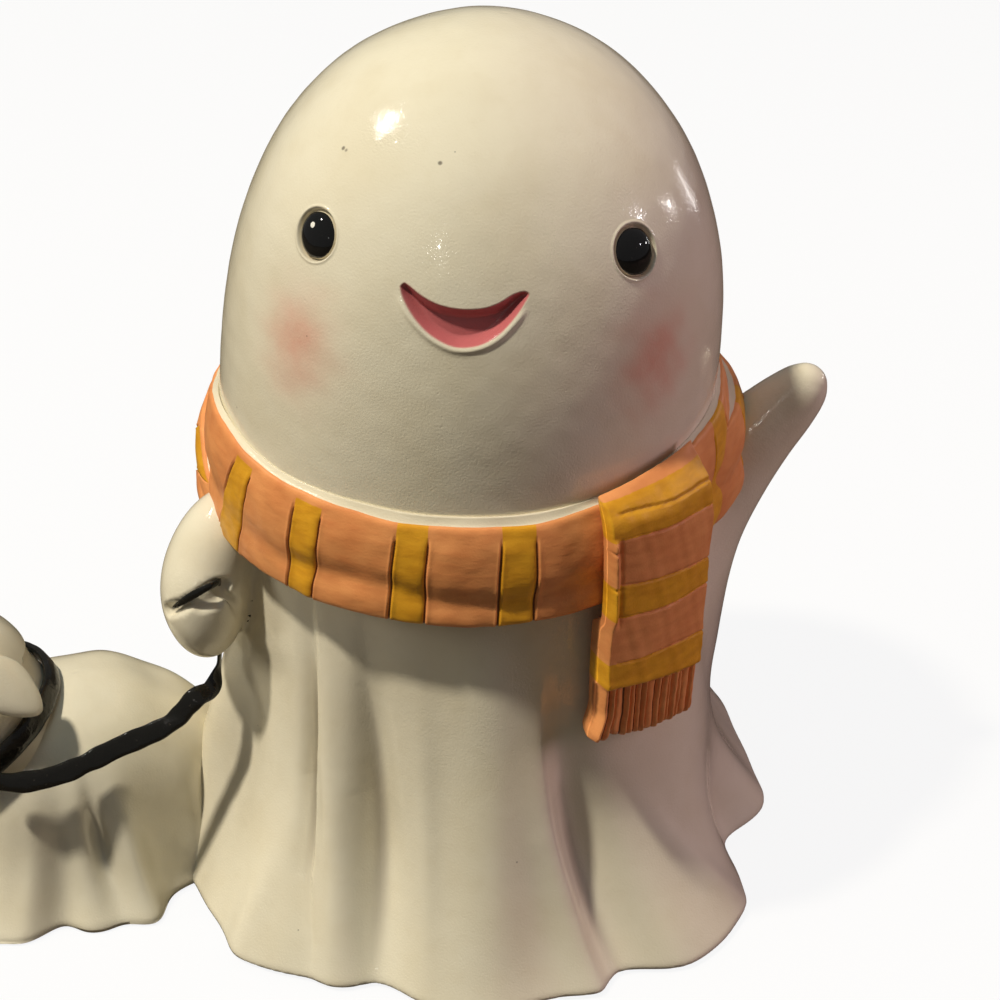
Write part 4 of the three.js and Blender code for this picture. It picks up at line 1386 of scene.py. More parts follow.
@dataclass
class Head:
    """Glazed head shell with its face."""

    dome: Dome = Dome()
    left_eye: Eye = Eye("eye_left", Spot(-42.8, 79.1, 51.5), 6.8, 7.5, 7.4, 8.0, dot=(1.1, 2.4, 0.85))
    right_eye: Eye = Eye("eye_right", Spot(37.8, 84.2, 31.0), 7.4, 7.4, 8.0, 8.05)
    mouth: Mouth = Mouth()
    cheeks: tuple = ((Spot(-41.5, 47.0), 18.0, 20.0, 0.55), (Spot(42.5, 52.0), 19.0, 21.0, 0.62))
    unevenness: float = 0.2

    def rows(self) -> Array:
        """Curve angles of the rows, close together across the face.

        Returns:
            Angles in radians, from the bottom row to the top row.
        """
        spans = ((0.0, 26.0, 1.6), (26.0, 57.0, 0.8), (57.0, 94.0, 0.28), (94.0, 104.0, 0.7))
        level = np.concatenate([np.arange(*span) for span in spans])
        top = np.linspace(float(self.dome.angle(104.0)), math.radians(89.2), 40)
        return np.concatenate([self.dome.angle(level), top])

    def columns(self) -> Array:
        """Azimuths of the columns, close together across the face.

        Returns:
            Azimuths in degrees, once round.
        """
        spans = ((-60.0, -53.0, 0.6), (-53.0, -32.5, 0.25), (-32.5, -21.0, 0.6), (-21.0, 12.5, 0.25))
        spans += ((12.5, 27.5, 0.6), (27.5, 48.0, 0.25), (48.0, 56.0, 0.7), (56.0, 300.0, 2.3))
        return np.concatenate([np.arange(low, high - 1e-6, step) for low, high, step in spans])

    def build(self, finishes: Finishes) -> list[bpy.types.Object]:
        """Makes the head and both eyes.

        Args:
            finishes: all finishes.

        Returns:
            The three pieces.
        """
        columns, rows = self.columns(), self.rows()
        flat, facing = self.dome.point(*np.broadcast_arrays(columns[None, :], rows[:, None]))
        press, painted = self.mouth.press(self.dome, flat)
        # painted shade gathered from the eye gaps
        painted_shade = np.zeros(press.shape)
        for eye in (self.left_eye, self.right_eye):
            stand, painted_shade_share = eye.press(self.dome, flat)
            press, painted_shade = press + stand, np.maximum(painted_shade, painted_shade_share)
        press = press + self.unevenness * ripple(flat, 42.0, 5) * smooth(flat[..., 2], 0.0, 12.0)
        press = press + 0.04 * ripple(flat, 9.0, 8)
        blush = np.zeros(press.shape)
        for spot, half_width, half_height, strength in self.cheeks:
            local = spot.flat(self.dome, flat)
            share = np.hypot(local[..., 0] / half_width, local[..., 1] / half_height)
            share = np.where(local[..., 2] > -20.0, share + 0.12 * ripple(flat, 11.0, 21), 9.0)
            blush = np.maximum(blush, strength * hump(share / 0.68))
        shell = self.dome.leaned(flat + press[..., None] * facing)
        slope = math.radians(self.dome.lean)
        ring = self.dome.point(columns, np.zeros(columns.shape))[0]
        drop = (NECK_SEAT + 0.3 - NECK_LINE + ring[:, 0] * math.sin(slope)) / math.cos(slope)
        skirt = []
        for share in np.linspace(1.0, 0.0, 6, endpoint=False):
            level = ring.copy()
            level[:, 2] = drop * share
            skirt.append(self.dome.leaned(level))
        points = np.concatenate([np.array(skirt), shell]).reshape(-1, 3)
        count, wide = len(points), len(columns)
        peak = self.dome.leaned(np.array([0.0, 0.0, self.dome.rise]))
        points = np.vstack([points, peak, [self.dome.offset, 0.0, NECK_SEAT + 0.3]])
        faces = [
            grid_faces(count // wide, wide),
            fan(np.arange(wide) + count - wide, count),
            fan(np.arange(wide), count + 1, True),
        ]
        spare = np.zeros(len(skirt) * wide)
        masks = {
            mask: np.concatenate([spare, values.ravel(), [0.0, 0.0]])
            for mask, values in ((Mask.MOUTH, painted), (Mask.BLUSH, blush), (Mask.PAINTED_SHADE, painted_shade))
        }
        head = make_piece("glazed_head", points, faces, masks)
        mount(head, "head_shell", Slot.GLAZE, finishes.glaze)
        return [head] + [eye.build(self.dome, finishes) for eye in (self.left_eye, self.right_eye)]


# Scarf
@dataclass(frozen=True)
class Groove:
    """Groove pressed across a band, by its azimuth at the bottom and top edges."""

    bottom: float
    top: float
    sway: float = 0.0

    def azimuth(self, share: Array) -> Array:
        """Where the groove runs at a share of the band's height."""
        return self.bottom + (self.top - self.bottom) * share + self.sway * np.sin(3.0 * math.pi * share)


@dataclass(frozen=True)
class Band:
    """One wrap of the scarf: two soft rolls with a crease between them, a bare ledge and pressed grooves."""

    node: str
    tops: tuple
    bottoms: tuple
    creases: tuple
    top_radius: float
    bottom_radius: float
    grooves: tuple
    inside: float
    ledges: tuple
    ledge_inside: float
    swell: tuple | None = None
    first_stripe: int = 0
    spacing: float = 1.0
    groove_half: float = 0.42
    groove_depth: float = 0.8
    seed: int = 31

    def stations(self) -> tuple[Array, Array]:
        """Share of height and depth behind the face, from the bottom edge to the top edge.

        Returns:
            The shares, and the millimetres behind the face.
        """
        foot = np.radians(np.linspace(-90.0, 0.0, 7)[:-1])
        face = np.linspace(0.06, 0.95, 52)
        brow = np.radians(np.linspace(0.0, 90.0, 6)[1:])
        share = np.concatenate([0.06 + 0.06 * np.sin(foot), face, 0.95 + 0.05 * np.sin(brow)])
        behind = np.concatenate([2.4 * (1.0 - np.cos(foot)), 0.0 * face, 0.8 * (1.0 - np.cos(brow))])
        return share, behind

    def columns(self) -> Array:
        """Column places, as numbers between the grooves in order, close together at each groove.

        Returns:
            Places, counted in grooves from the first.
        """
        count = len(self.grooves)
        steps = np.array([-1.4, -1.0, -0.72, -0.48, -0.24, 0.0, 0.24, 0.48, 0.72, 1.0, 1.4])
        parts = []
        for i in range(count - 1 if self.swell else count):
            gap = abs(turn(self.grooves[i].bottom, self.grooves[(i + 1) % count].bottom))
            parts.append(i + steps * self.groove_half / gap)
            parts.append(i + np.linspace(0.9 / gap, 1.0 - 0.9 / gap, max(4, int(gap / self.spacing))))
        places = np.concatenate(parts)
        return np.sort(places[places >= 0.0] if self.swell else places % count)

    def crown(self, level: Array, azimuth: Array, flat: Array) -> Array:
        """How far the face stands out of a plain cone.

        Args:
            level: share of height.
            azimuth: degrees.
            flat: places on the plain cone.

        Returns:
            Heights.
        """
        crease = along(self.creases, turn(0.0, azimuth), 360.0) + 0.02 * ripple(flat, 30.0, self.seed)
        dent = 0.25 + 0.75 * smooth(azimuth, -56.0, -34.0)
        rolls = 1.5 * np.sin(math.pi * np.clip(level, 0.0, 1.0)) ** 0.7 - 0.8 * smooth(level, 0.75, 1.0)
        rolls = rolls - 1.6 * dent * hump((level - crease) / 0.13)
        return rolls + 0.35 * ripple(flat, 24.0, self.seed + 1) + 0.12 * ripple(flat, 6.0, self.seed + 2)

    def build(self, finishes: Finishes) -> bpy.types.Object:
        """Makes the wrap.

        Args:
            finishes: all finishes.

        Returns:
            The piece.
        """
        share, behind = self.stations()
        places = self.columns()
        count = len(self.grooves)
        base = np.floor(places).astype(int)
        lines = np.array([[groove.azimuth(level) for groove in self.grooves] for level in share])
        here, there = lines[:, base % count], lines[:, (base + 1) % count]
        azimuth = here + turn(here, there) * (places - base)
        wrapped = turn(0.0, azimuth)
        level = np.broadcast_to(share[:, None], azimuth.shape)
        top = along(self.tops, wrapped, 360.0)
        bottom = along(self.bottoms, wrapped, 360.0)
        height = bottom + (top - bottom) * level
        radius = self.bottom_radius + (self.top_radius - self.bottom_radius) * level
        flat = around(radius, azimuth, height, SCARF_CENTRE)
        nearest = np.full(azimuth.shape, 99.0)
        for groove in self.grooves:
            away = np.radians(np.abs(turn(groove.azimuth(level), azimuth))) * radius
            nearest = np.minimum(nearest, away)
        run = smooth(level, -0.05, 0.03) * (1.0 - smooth(level, 0.8, 0.93))
        cut = hump(nearest / self.groove_half) * run
        edge = hump((nearest - 2.1 * self.groove_half) / (0.7 * self.groove_half)) * run
        out = radius + self.crown(level, azimuth, flat) - behind[:, None]
        out = out - self.groove_depth * cut + 0.2 * edge
        if self.swell:
            out = self.inside + (out - self.inside) * np.interp(azimuth % 360.0, *zip(*self.swell))
        face = around(out, azimuth, height, SCARF_CENTRE)
        striped = (base % count + self.first_stripe) % 2 == 0
        stripe = np.where(striped[None, :], smooth(nearest, 0.0, 0.35), 0.0)
        stripe = stripe * (1.0 - smooth(level, 0.9, 0.99) * smooth(-wrapped, 20.0, 30.0))
        rising = np.linspace(0.2, 1.0, 6)[:, None] * np.ones(azimuth[-1:].shape)
        ledge = along(self.ledges, wrapped[-1:], 360.0)
        rim_radius = out[-1:] + (self.ledge_inside - out[-1:]) * rising**0.8
        rim = around(rim_radius, azimuth[-1:] + 0.0 * rising, height[-1:] + ledge * rising**1.3, SCARF_CENTRE)
        falling = np.linspace(0.9, 0.06, 5)[:, None] * np.ones(azimuth[-1:].shape)
        inner_height = bottom[:1] + (top[:1] - bottom[:1]) * falling
        inner = around(self.inside + 0.0 * falling, azimuth[:1] + 0.0 * falling, inner_height, SCARF_CENTRE)
        grid = np.concatenate([face, rim, inner])
        rows, columns = grid.shape[:2]
        points = grid.reshape(-1, 3)
        faces = [grid_faces(rows, columns, not self.swell, True)]
        for column, flip in ((0, False), (columns - 1, True)) if self.swell else ():
            ring = np.arange(rows) * columns + column
            points = np.vstack([points, points[ring].mean(axis=0)])
            faces.append(fan(ring, len(points) - 1, flip))
        hidden = np.zeros(len(points) - face.size // 3)
        masks = {
            Mask.STRIPE: np.append(stripe, hidden),
            Mask.GROOVE_AND_GAP_SHADE: np.append(cut, hidden),
            Mask.BARE: np.append(np.zeros(stripe.shape), hidden + 1.0),
        }
        piece = make_piece(f"painted_{self.node}", points, faces, masks)
        mount(piece, self.node, Slot.SCARF, finishes.scarf)
        return piece


@dataclass(frozen=True)
class Tail:
    """Hanging end of the scarf, with stripes across it and a row of fringe strands."""

    sides: tuple = (27.2, 54.4)
    tops: tuple = (175.9, 180.4)
    line: tuple = (110.3, 102.6)
    tips: tuple = (90.2, 82.4)
    inside: float = 89.3
    outside: float = 96.2
    strands: int = 16
    strand_depth: float = 2.3
    stripes: tuple = (
        ((171.2, 169.3), (163.4, 161.2)),
        ((147.8, 141.8), (135.9, 132.4)),
        ((119.5, 115.2), (110.3, 102.6)),
    )
    wrinkles: tuple = (160.0, 147.0)
    columns: int = 200
    rows: int = 190

    def edges(self, share: Array) -> Array:
        """How much lower or higher each strand's tip is than its neighbours.

        Args:
            share: how far across the end, from 0 to 1.

        Returns:
            Millimetres upward.
        """
        lobes = -1.6 * hump((share - 0.05) / 0.06) + 1.6 * hump((share - 0.135) / 0.012)
        middle = smooth(share, 0.14, 0.2) * (1.0 - smooth(share, 0.55, 0.62))
        return lobes + 1.8 * hump((share - 0.62) / 0.012) - 0.6 * middle

    def build(self, finishes: Finishes) -> bpy.types.Object:
        """Makes the hanging end.

        Args:
            finishes: all finishes.

        Returns:
            The piece.
        """
        rim = 0.5 - 0.5 * np.cos(np.linspace(0.0, math.pi, 25))
        side_edge, foot_edge = 0.05 * rim[:12], 0.97 + 0.03 * rim[13::2]
        across = np.concatenate([side_edge, np.linspace(0.026, 0.974, self.columns), 1.0 - side_edge[::-1]])
        down = np.concatenate([np.linspace(0.0, 0.1, 18)[:-1], np.linspace(0.1, 0.97, self.rows), foot_edge])
        share, fall = np.meshgrid(across, down)

        def level(ends: tuple) -> Array:
            """Height of a line from the left side to the right one."""
            return ends[0] + (ends[1] - ends[0]) * share

        height = level(self.tops) + (level(self.tips) + self.edges(share) - level(self.tops)) * fall
        azimuth = level(self.sides) + (1.0 - share) * 0.8 * hump((height - 146.0) / 22.0)
        azimuth = azimuth - (1.0 - share) ** 4 * 1.6 * smooth(100.0 - height, 0.0, 10.0)
        azimuth = azimuth - share * 1.6 * smooth(150.0 - height, 0.0, 60.0)
        over = smooth(height, 162.0, 180.0)
        below = level(self.line) - height
        fringe = smooth(below, -0.3, 1.0)
        uneven = share + 0.011 * np.sin(19.0 * share) + 0.007 * np.sin(47.0 * share + 1.0)
        phase = uneven * self.strands + 0.08 * np.sin(height / 6.0 + 9.0 * share)
        strand = np.abs(np.sin(math.pi * phase)) ** 0.6 * (0.82 + 0.18 * np.sin(2.4 * np.floor(phase)))
        front = self.outside - 9.5 * over**2 + 0.7 * hump((height - 174.2 - 2.0 * share) / 2.6)
        front = front - fringe * (self.strand_depth * (1.0 - strand) + 0.5)
        front = front + 0.4 * hump((below + 1.4) / 1.4) - 0.6 * smooth(below, 4.0, 20.0)
        front = front + 1.1 * hump(share / 0.08) * smooth(below, 8.0, 16.0)
        width = math.radians(self.sides[1] - self.sides[0]) * self.outside
        side = share * width
        roll = smooth(height, 131.0, 136.0) * (1.0 - smooth(height, 162.0, 165.0))
        front = front + roll * (1.2 * hump((side - 1.3) / 1.1) - 0.7 * hump((side - 3.4) / 0.8))
        for wrinkle in self.wrinkles:
            front = front - 0.8 * hump((height - wrinkle + 0.3 * side) / 0.5) * hump(side / 4.0)
        flat = around(front, azimuth, height, SCARF_CENTRE)
        front = front + 0.45 * ripple(flat, 26.0, 61) + 0.12 * ripple(flat, 6.0, 62)
        groove = np.zeros(share.shape)
        stripe = np.zeros(share.shape)
        for number, (high, low) in enumerate(self.stripes):
            upper, lower = level(high), level(low)
            for line in (upper, lower):
                away = height - line - 0.35 * np.sin(share * 9.0 + number)
                groove = np.maximum(groove, hump(away / 0.42) * smooth(share, 0.05, 0.1))
            rise = 3.0 + 3.0 * share if number == 0 else 0.0
            end = upper + rise - 0.2
            above = smooth(height, end, end + 0.4 + 0.4 * rise)
            stripe = np.maximum(stripe, smooth(height, lower - 0.2, lower + 0.2) * (1.0 - above))
        front = front - 0.6 * groove * (1.0 - fringe)
        tip_edge = (1.0 - fall) * (level(self.tops) - level(self.tips)) / 2.4
        head_edge = fall * (level(self.tops) - level(self.tips)) / 3.0
        rounding = np.ones(share.shape)
        for ends in (np.minimum(share, 1.0 - share) * width / 1.1, tip_edge, head_edge):
            rounding = rounding * np.sqrt(np.clip(1.0 - (1.0 - np.clip(ends, 0.0, 1.0)) ** 2, 0.0, 1.0))
        deep = 5.0 * (1.0 - smooth(share, 0.05, 0.4)) * smooth(134.0 - height, 0.0, 5.0)
        back = self.inside - 4.0 * over - deep + 0.5 * fringe * self.strand_depth * (1.0 - strand)
        middle, half = 0.5 * (front + back), 0.5 * (front - back)
        outer = around(middle + half * rounding, azimuth, height, SCARF_CENTRE)
        inner = around(middle - half * rounding, azimuth, height, SCARF_CENTRE)
        points = np.concatenate([outer.reshape(-1, 3), inner.reshape(-1, 3)])
        rows, columns = share.shape
        sheet = grid_faces(rows, columns, False)
        count = rows * columns
        numbers = np.arange(count).reshape(rows, columns)
        border = np.concatenate([numbers[0], numbers[1:, -1], numbers[-1, -2::-1], numbers[-2:0:-1, 0]])
        after = np.roll(border, -1)
        walls = np.stack([border, after, after + count, border + count], axis=1)
        # painted shade: the gaps between the fringe strands are darkened with the groove brown
        gap = fringe * hump(strand / 0.42)
        masks = {
            Mask.STRIPE: np.tile((stripe * (1.0 - fringe)).ravel(), 2),
            Mask.GROOVE_AND_GAP_SHADE: np.tile(np.maximum(0.45 * groove * (1.0 - fringe), gap).ravel(), 2),
        }
        piece = make_piece("painted_scarf_tail", points, [sheet[:, ::-1], sheet + count, walls], masks)
        mount(piece, "scarf_tail", Slot.SCARF, finishes.scarf)
        return piece


def spaced(places: range, width: float, lean: float) -> tuple[Groove, ...]:
    """Pairs of grooves, one pair for each stripe.

    Args:
        places: azimuths where the stripes start.
        width: of a stripe, in degrees.
        lean: how much further round each groove is at its top.

    Returns:
        The grooves in order.
    """
    return tuple(Groove(at + shift, at + shift + lean, 0.15) for at in places for shift in (0.0, width))


def scarf_wraps() -> tuple[Band, Band]:
    """The wrap round the neck and the one that passes behind it.

    Returns:
        The neck wrap and the back wrap.
    """
    front = (
        Groove(-66.0, -55.0, 0.15),
        Groove(-55.8, -49.0, -0.1),
        Groove(-39.0, -36.3, 0.05),
        Groove(-32.4, -29.2, -0.1),
        Groove(-15.2, -13.3, 0.08),
        Groove(-8.0, -6.8, 0.1),
        Groove(6.6, 7.8, 0.1),
        Groove(14.0, 14.9, -0.08),
        Groove(33.0, 34.0),
        Groove(40.5, 41.5),
        Groove(63.5, 66.5, 0.2),
        Groove(73.0, 75.5, 0.2),
    )
    front += spaced(range(93, 240, 29), 8.0, 0.5)
    front += (Groove(238.0, 240.0, -0.1), Groove(246.0, 248.0, 0.1))
    front += (Groove(266.0, 270.0, 0.1), Groove(274.0, 278.0, 0.1))
    tops = (
        (-150.0, 179.0), (-115.0, 176.5), (-90.0, 177.8), (-76.0, 179.6), (-67.0, 179.5),
        (-55.0, 176.5), (-44.0, 173.7), (-32.0, 172.1), (-22.0, 170.6), (-12.0, 169.1),
        (0.0, 168.8), (14.0, 168.3), (28.0, 170.5), (45.0, 174.0), (62.0, 177.5), (80.0, 180.5),
        (115.0, 184.0), (150.0, 182.0),
    )
    bottoms = (
        (-150.0, 141.0), (-115.0, 139.0), (-90.0, 138.0), (-66.0, 138.3), (-52.0, 138.0),
        (-39.0, 137.2), (-22.0, 136.3), (-7.0, 135.6), (7.0, 134.8), (14.0, 135.5), (26.0, 136.2),
        (53.0, 138.0), (80.0, 142.0), (115.0, 146.0), (150.0, 144.0),
    )
    creases = ((-90.0, 0.38), (-60.0, 0.37), (-37.0, 0.33), (-15.0, 0.36), (-3.0, 0.27))
    creases += ((8.0, 0.24), (25.0, 0.3), (90.0, 0.42), (180.0, 0.4))
    ledges = ((-90.0, 0.8), (-62.0, 1.0), (-45.0, 1.6), (-30.0, 2.0), (-14.0, 3.0))
    ledges += ((0.0, 2.8), (14.0, 3.0), (28.0, 1.8), (50.0, 1.2), (120.0, 1.0))
    neck = Band("scarf_neck_wrap", tops, bottoms, creases, 86.2, 88.4, front, 81.4, ledges, 82.6)
    back_tops = ((-78.0, 150.0), (-84.0, 155.0), (-92.0, 161.0), (-104.0, 167.0), (-130.0, 170.0))
    back_tops = back_tops[::-1] + tuple((place, level - 9.0) for place, level in tops if place > -60.0)
    back_bottoms = tuple((place, level - 2.0) for place, level in bottoms)
    behind = (Groove(66.0, 66.0), *spaced(range(84, 200, 28), 7.5, 0.8))
    behind += (Groove(224.0, 226.0), Groove(232.0, 235.0))
    behind += (Groove(254.0, 270.0), Groove(264.0, 285.0), Groove(284.0, 291.0))
    swell = ((66.0, 0.1), (72.0, 0.45), (82.0, 0.8), (94.0, 1.0), (256.0, 1.0))
    swell += ((268.0, 0.86), (279.0, 0.62), (286.0, 0.4), (291.0, 0.1))
    even = ((-90.0, 1.6), (0.0, 1.6), (90.0, 1.6))
    edges = ("scarf_back_wrap", back_tops, back_bottoms, creases)
    back = Band(*edges, 92.6, 95.6, behind, 84.6, even, 84.8, swell, 1, seed=41)
    return neck, back


# Dog under its own sheet, and the strap
@dataclass(frozen=True)
class DogFrame:
    """Where the dog stands, with its own X along its back."""

    centre: tuple = (-142.0, -22.0)
    turned: float = 22.0
    neck_at: Triple = (-27.0, 0.0, 49.0)
    neck_along: Triple = (-0.48, 0.0, 0.88)
    look: Triple = (-0.86, -0.5, 0.0)

    def world(self, points: Array, moved: bool = True) -> Array:
        """Dog's places or directions in the row frame.

        Args:
            points: places or directions of the dog's own.
            moved: False for directions.

        Returns:
            The same in the row frame.
        """
        angle = math.radians(self.turned)
        x = points[..., 0] * math.cos(angle) - points[..., 1] * math.sin(angle)
        y = points[..., 0] * math.sin(angle) + points[..., 1] * math.cos(angle)
        placed = np.stack([x, y, points[..., 2]], axis=-1)
        return placed + np.array([*self.centre, 0.0]) if moved else placed

    def local(self, points: Array) -> Array:
        """Places in the row frame as the dog's own.

        Args:
            points: places in the row frame.

        Returns:
            The same places in the dog's frame.
        """
        angle = math.radians(self.turned)
        moved = points - np.array([*self.centre, 0.0])
        x = moved[..., 0] * math.cos(angle) + moved[..., 1] * math.sin(angle)
        y = moved[..., 1] * math.cos(angle) - moved[..., 0] * math.sin(angle)
        return np.stack([x, y, moved[..., 2]], axis=-1)

    def head_axes(self) -> tuple[Array, Array]:
        """Foot of the neck and the side, back and up axes of the head.

        Returns:
            The place, and the three axes as rows.
        """
        up = unit(self.neck_along)
        look = np.array(self.look)
        look = unit(look - look @ up * up)
        axes = np.stack([np.cross(look, up), -look, up])
        return self.world(np.array(self.neck_at)), self.world(axes, False)


@dataclass
class DogBody:
    """Sheet that hangs over the dog's back."""

    place: DogFrame = DogFrame()
    half_length: float = 50.0
    half_width: float = 37.0
    height: float = 73.0
    shoulder: float = 34.0
    power: float = 2.3
    flare: float = 20.0
    flare_height: float = 22.0
    fold_height: float = 30.0
    folds: tuple = (
        (10, 8, 5), (28, 22, -9), (-24, 8, -6), (-45, 12, 4), (-85, 13, -4), (-120, 12, 5),
        (180, 14, -5), (150, 12, 6),
    )
    rump: Triple = (8.0, 48.0, 8.0)
    columns: int = 300
    rows: int = 92
    hem: tuple = ((5.4, 6.0), (5.2, 2.0), (4.6, 0.4), (2.6, 0.5), (1.2, 0.0))

    def surface(self, azimuth: Array, level: Array, inward: float = 0.0) -> Array:
        """Places on the sheet, in the dog's own frame.

        Args:
            azimuth: degrees.
            level: height before the rump drops.
            inward: how far under the surface.

        Returns:
            Points.
        """
        dome = np.clip((level - self.shoulder) / (self.height - self.shoulder), 0.0, 1.0)
        narrowing = np.sqrt(np.clip(1.0 - dome**self.power, 0.0, 1.0))
        angle = np.radians(azimuth)
        oval = 1.0 / np.hypot(np.sin(angle) / self.half_length, np.cos(angle) / self.half_width)
        skirt = self.flare * np.exp(-level / self.flare_height) * np.minimum(1.0, narrowing * 1.6)
        fading = np.exp(-level / self.fold_height)
        relief = self.detail(azimuth, level)
        for centre, width, out in self.folds:
            relief = relief + out * hump(turn(centre, azimuth) / width) * fading
        radius = oval * narrowing + skirt + relief * narrowing**0.5
        points = around(np.maximum(0.0, radius - inward), azimuth, level)
        rump_from, rump_to, rump_drop = self.rump
        rump = 1.0 - (rump_drop / self.height) * smooth(points[..., 0], rump_from, rump_to)
        points[..., 2] = HEM_LIFT + (points[..., 2] - HEM_LIFT) * rump
        return points

    def detail(self, azimuth: Array, level: Array) -> Array:
        """Smaller folds and valleys of the sheet.

        Args:
            azimuth: round the dog, in degrees.
            level: above the ground, in millimetres.

        Returns:
            Millimetres outward.
        """
        valley = -4.5 * hump(turn(-5.8 - 0.14 * (level - 30.0), azimuth) / 4.5) * hump((level - 26.0) / 19.0)
        ridge = 3.0 * hump(turn(7.0 - 0.12 * (level - 30.0), azimuth) / 5.5) * hump((level - 18.0) / 22.0)
        second = 1.8 * hump(turn(-34.0, azimuth) / 5.0) * hump((level - 10.0) / 22.0)
        recess = -3.0 * hump(turn(58.0, azimuth) / 9.0) * hump((level - 34.0) / 26.0)
        behind = np.exp(-level / 26.0) * smooth(np.abs(azimuth), 70.0, 110.0)
        return valley + ridge + second + recess + 1.6 * np.sin(np.radians(azimuth * 9.0)) * behind

    def build(self, finishes: Finishes) -> bpy.types.Object:
        """Makes the dog's sheet.

        Args:
            finishes: all finishes.

        Returns:
            The piece.
        """
        azimuth = np.linspace(-180.0, 180.0, self.columns, endpoint=False)
        levels = HEM_LIFT + (self.height - HEM_LIFT) * np.sin(np.linspace(0.0, 0.5 * math.pi, self.rows)[:-1])
        outer = self.surface(*np.meshgrid(azimuth, levels))
        outer = outer + 0.35 * ripple(outer, 24.0, 71)[..., None] * np.array([0.5, 0.5, 1.0])
        flat = np.ones(azimuth.shape)
        inner = [self.surface(azimuth, (HEM_LIFT + lift) * flat, inward) for inward, lift in self.hem]
        low = np.clip(1.0 - (outer[..., 2] - HEM_LIFT) / 2.4, 0.0, 1.0)
        outer[..., :2] *= (1.0 - 0.022 * low**2)[..., None]
        points = np.concatenate([np.array(inner), outer]).reshape(-1, 3)
        count = len(points)
        ends = [[0.0, 0.0, self.height], [0.0, 0.0, HEM_LIFT + self.hem[0][1]]]
        points = self.place.world(np.vstack([points, ends]))
        ring = np.arange(self.columns)
        faces = [
            grid_faces(count // self.columns, self.columns),
            fan(ring + count - self.columns, count),
            fan(ring, count + 1, True),
        ]
        piece = make_piece("glazed_dog_body", points, faces)
        mount(piece, "dog_body_shell", Slot.GLAZE, finishes.glaze)
        return piece


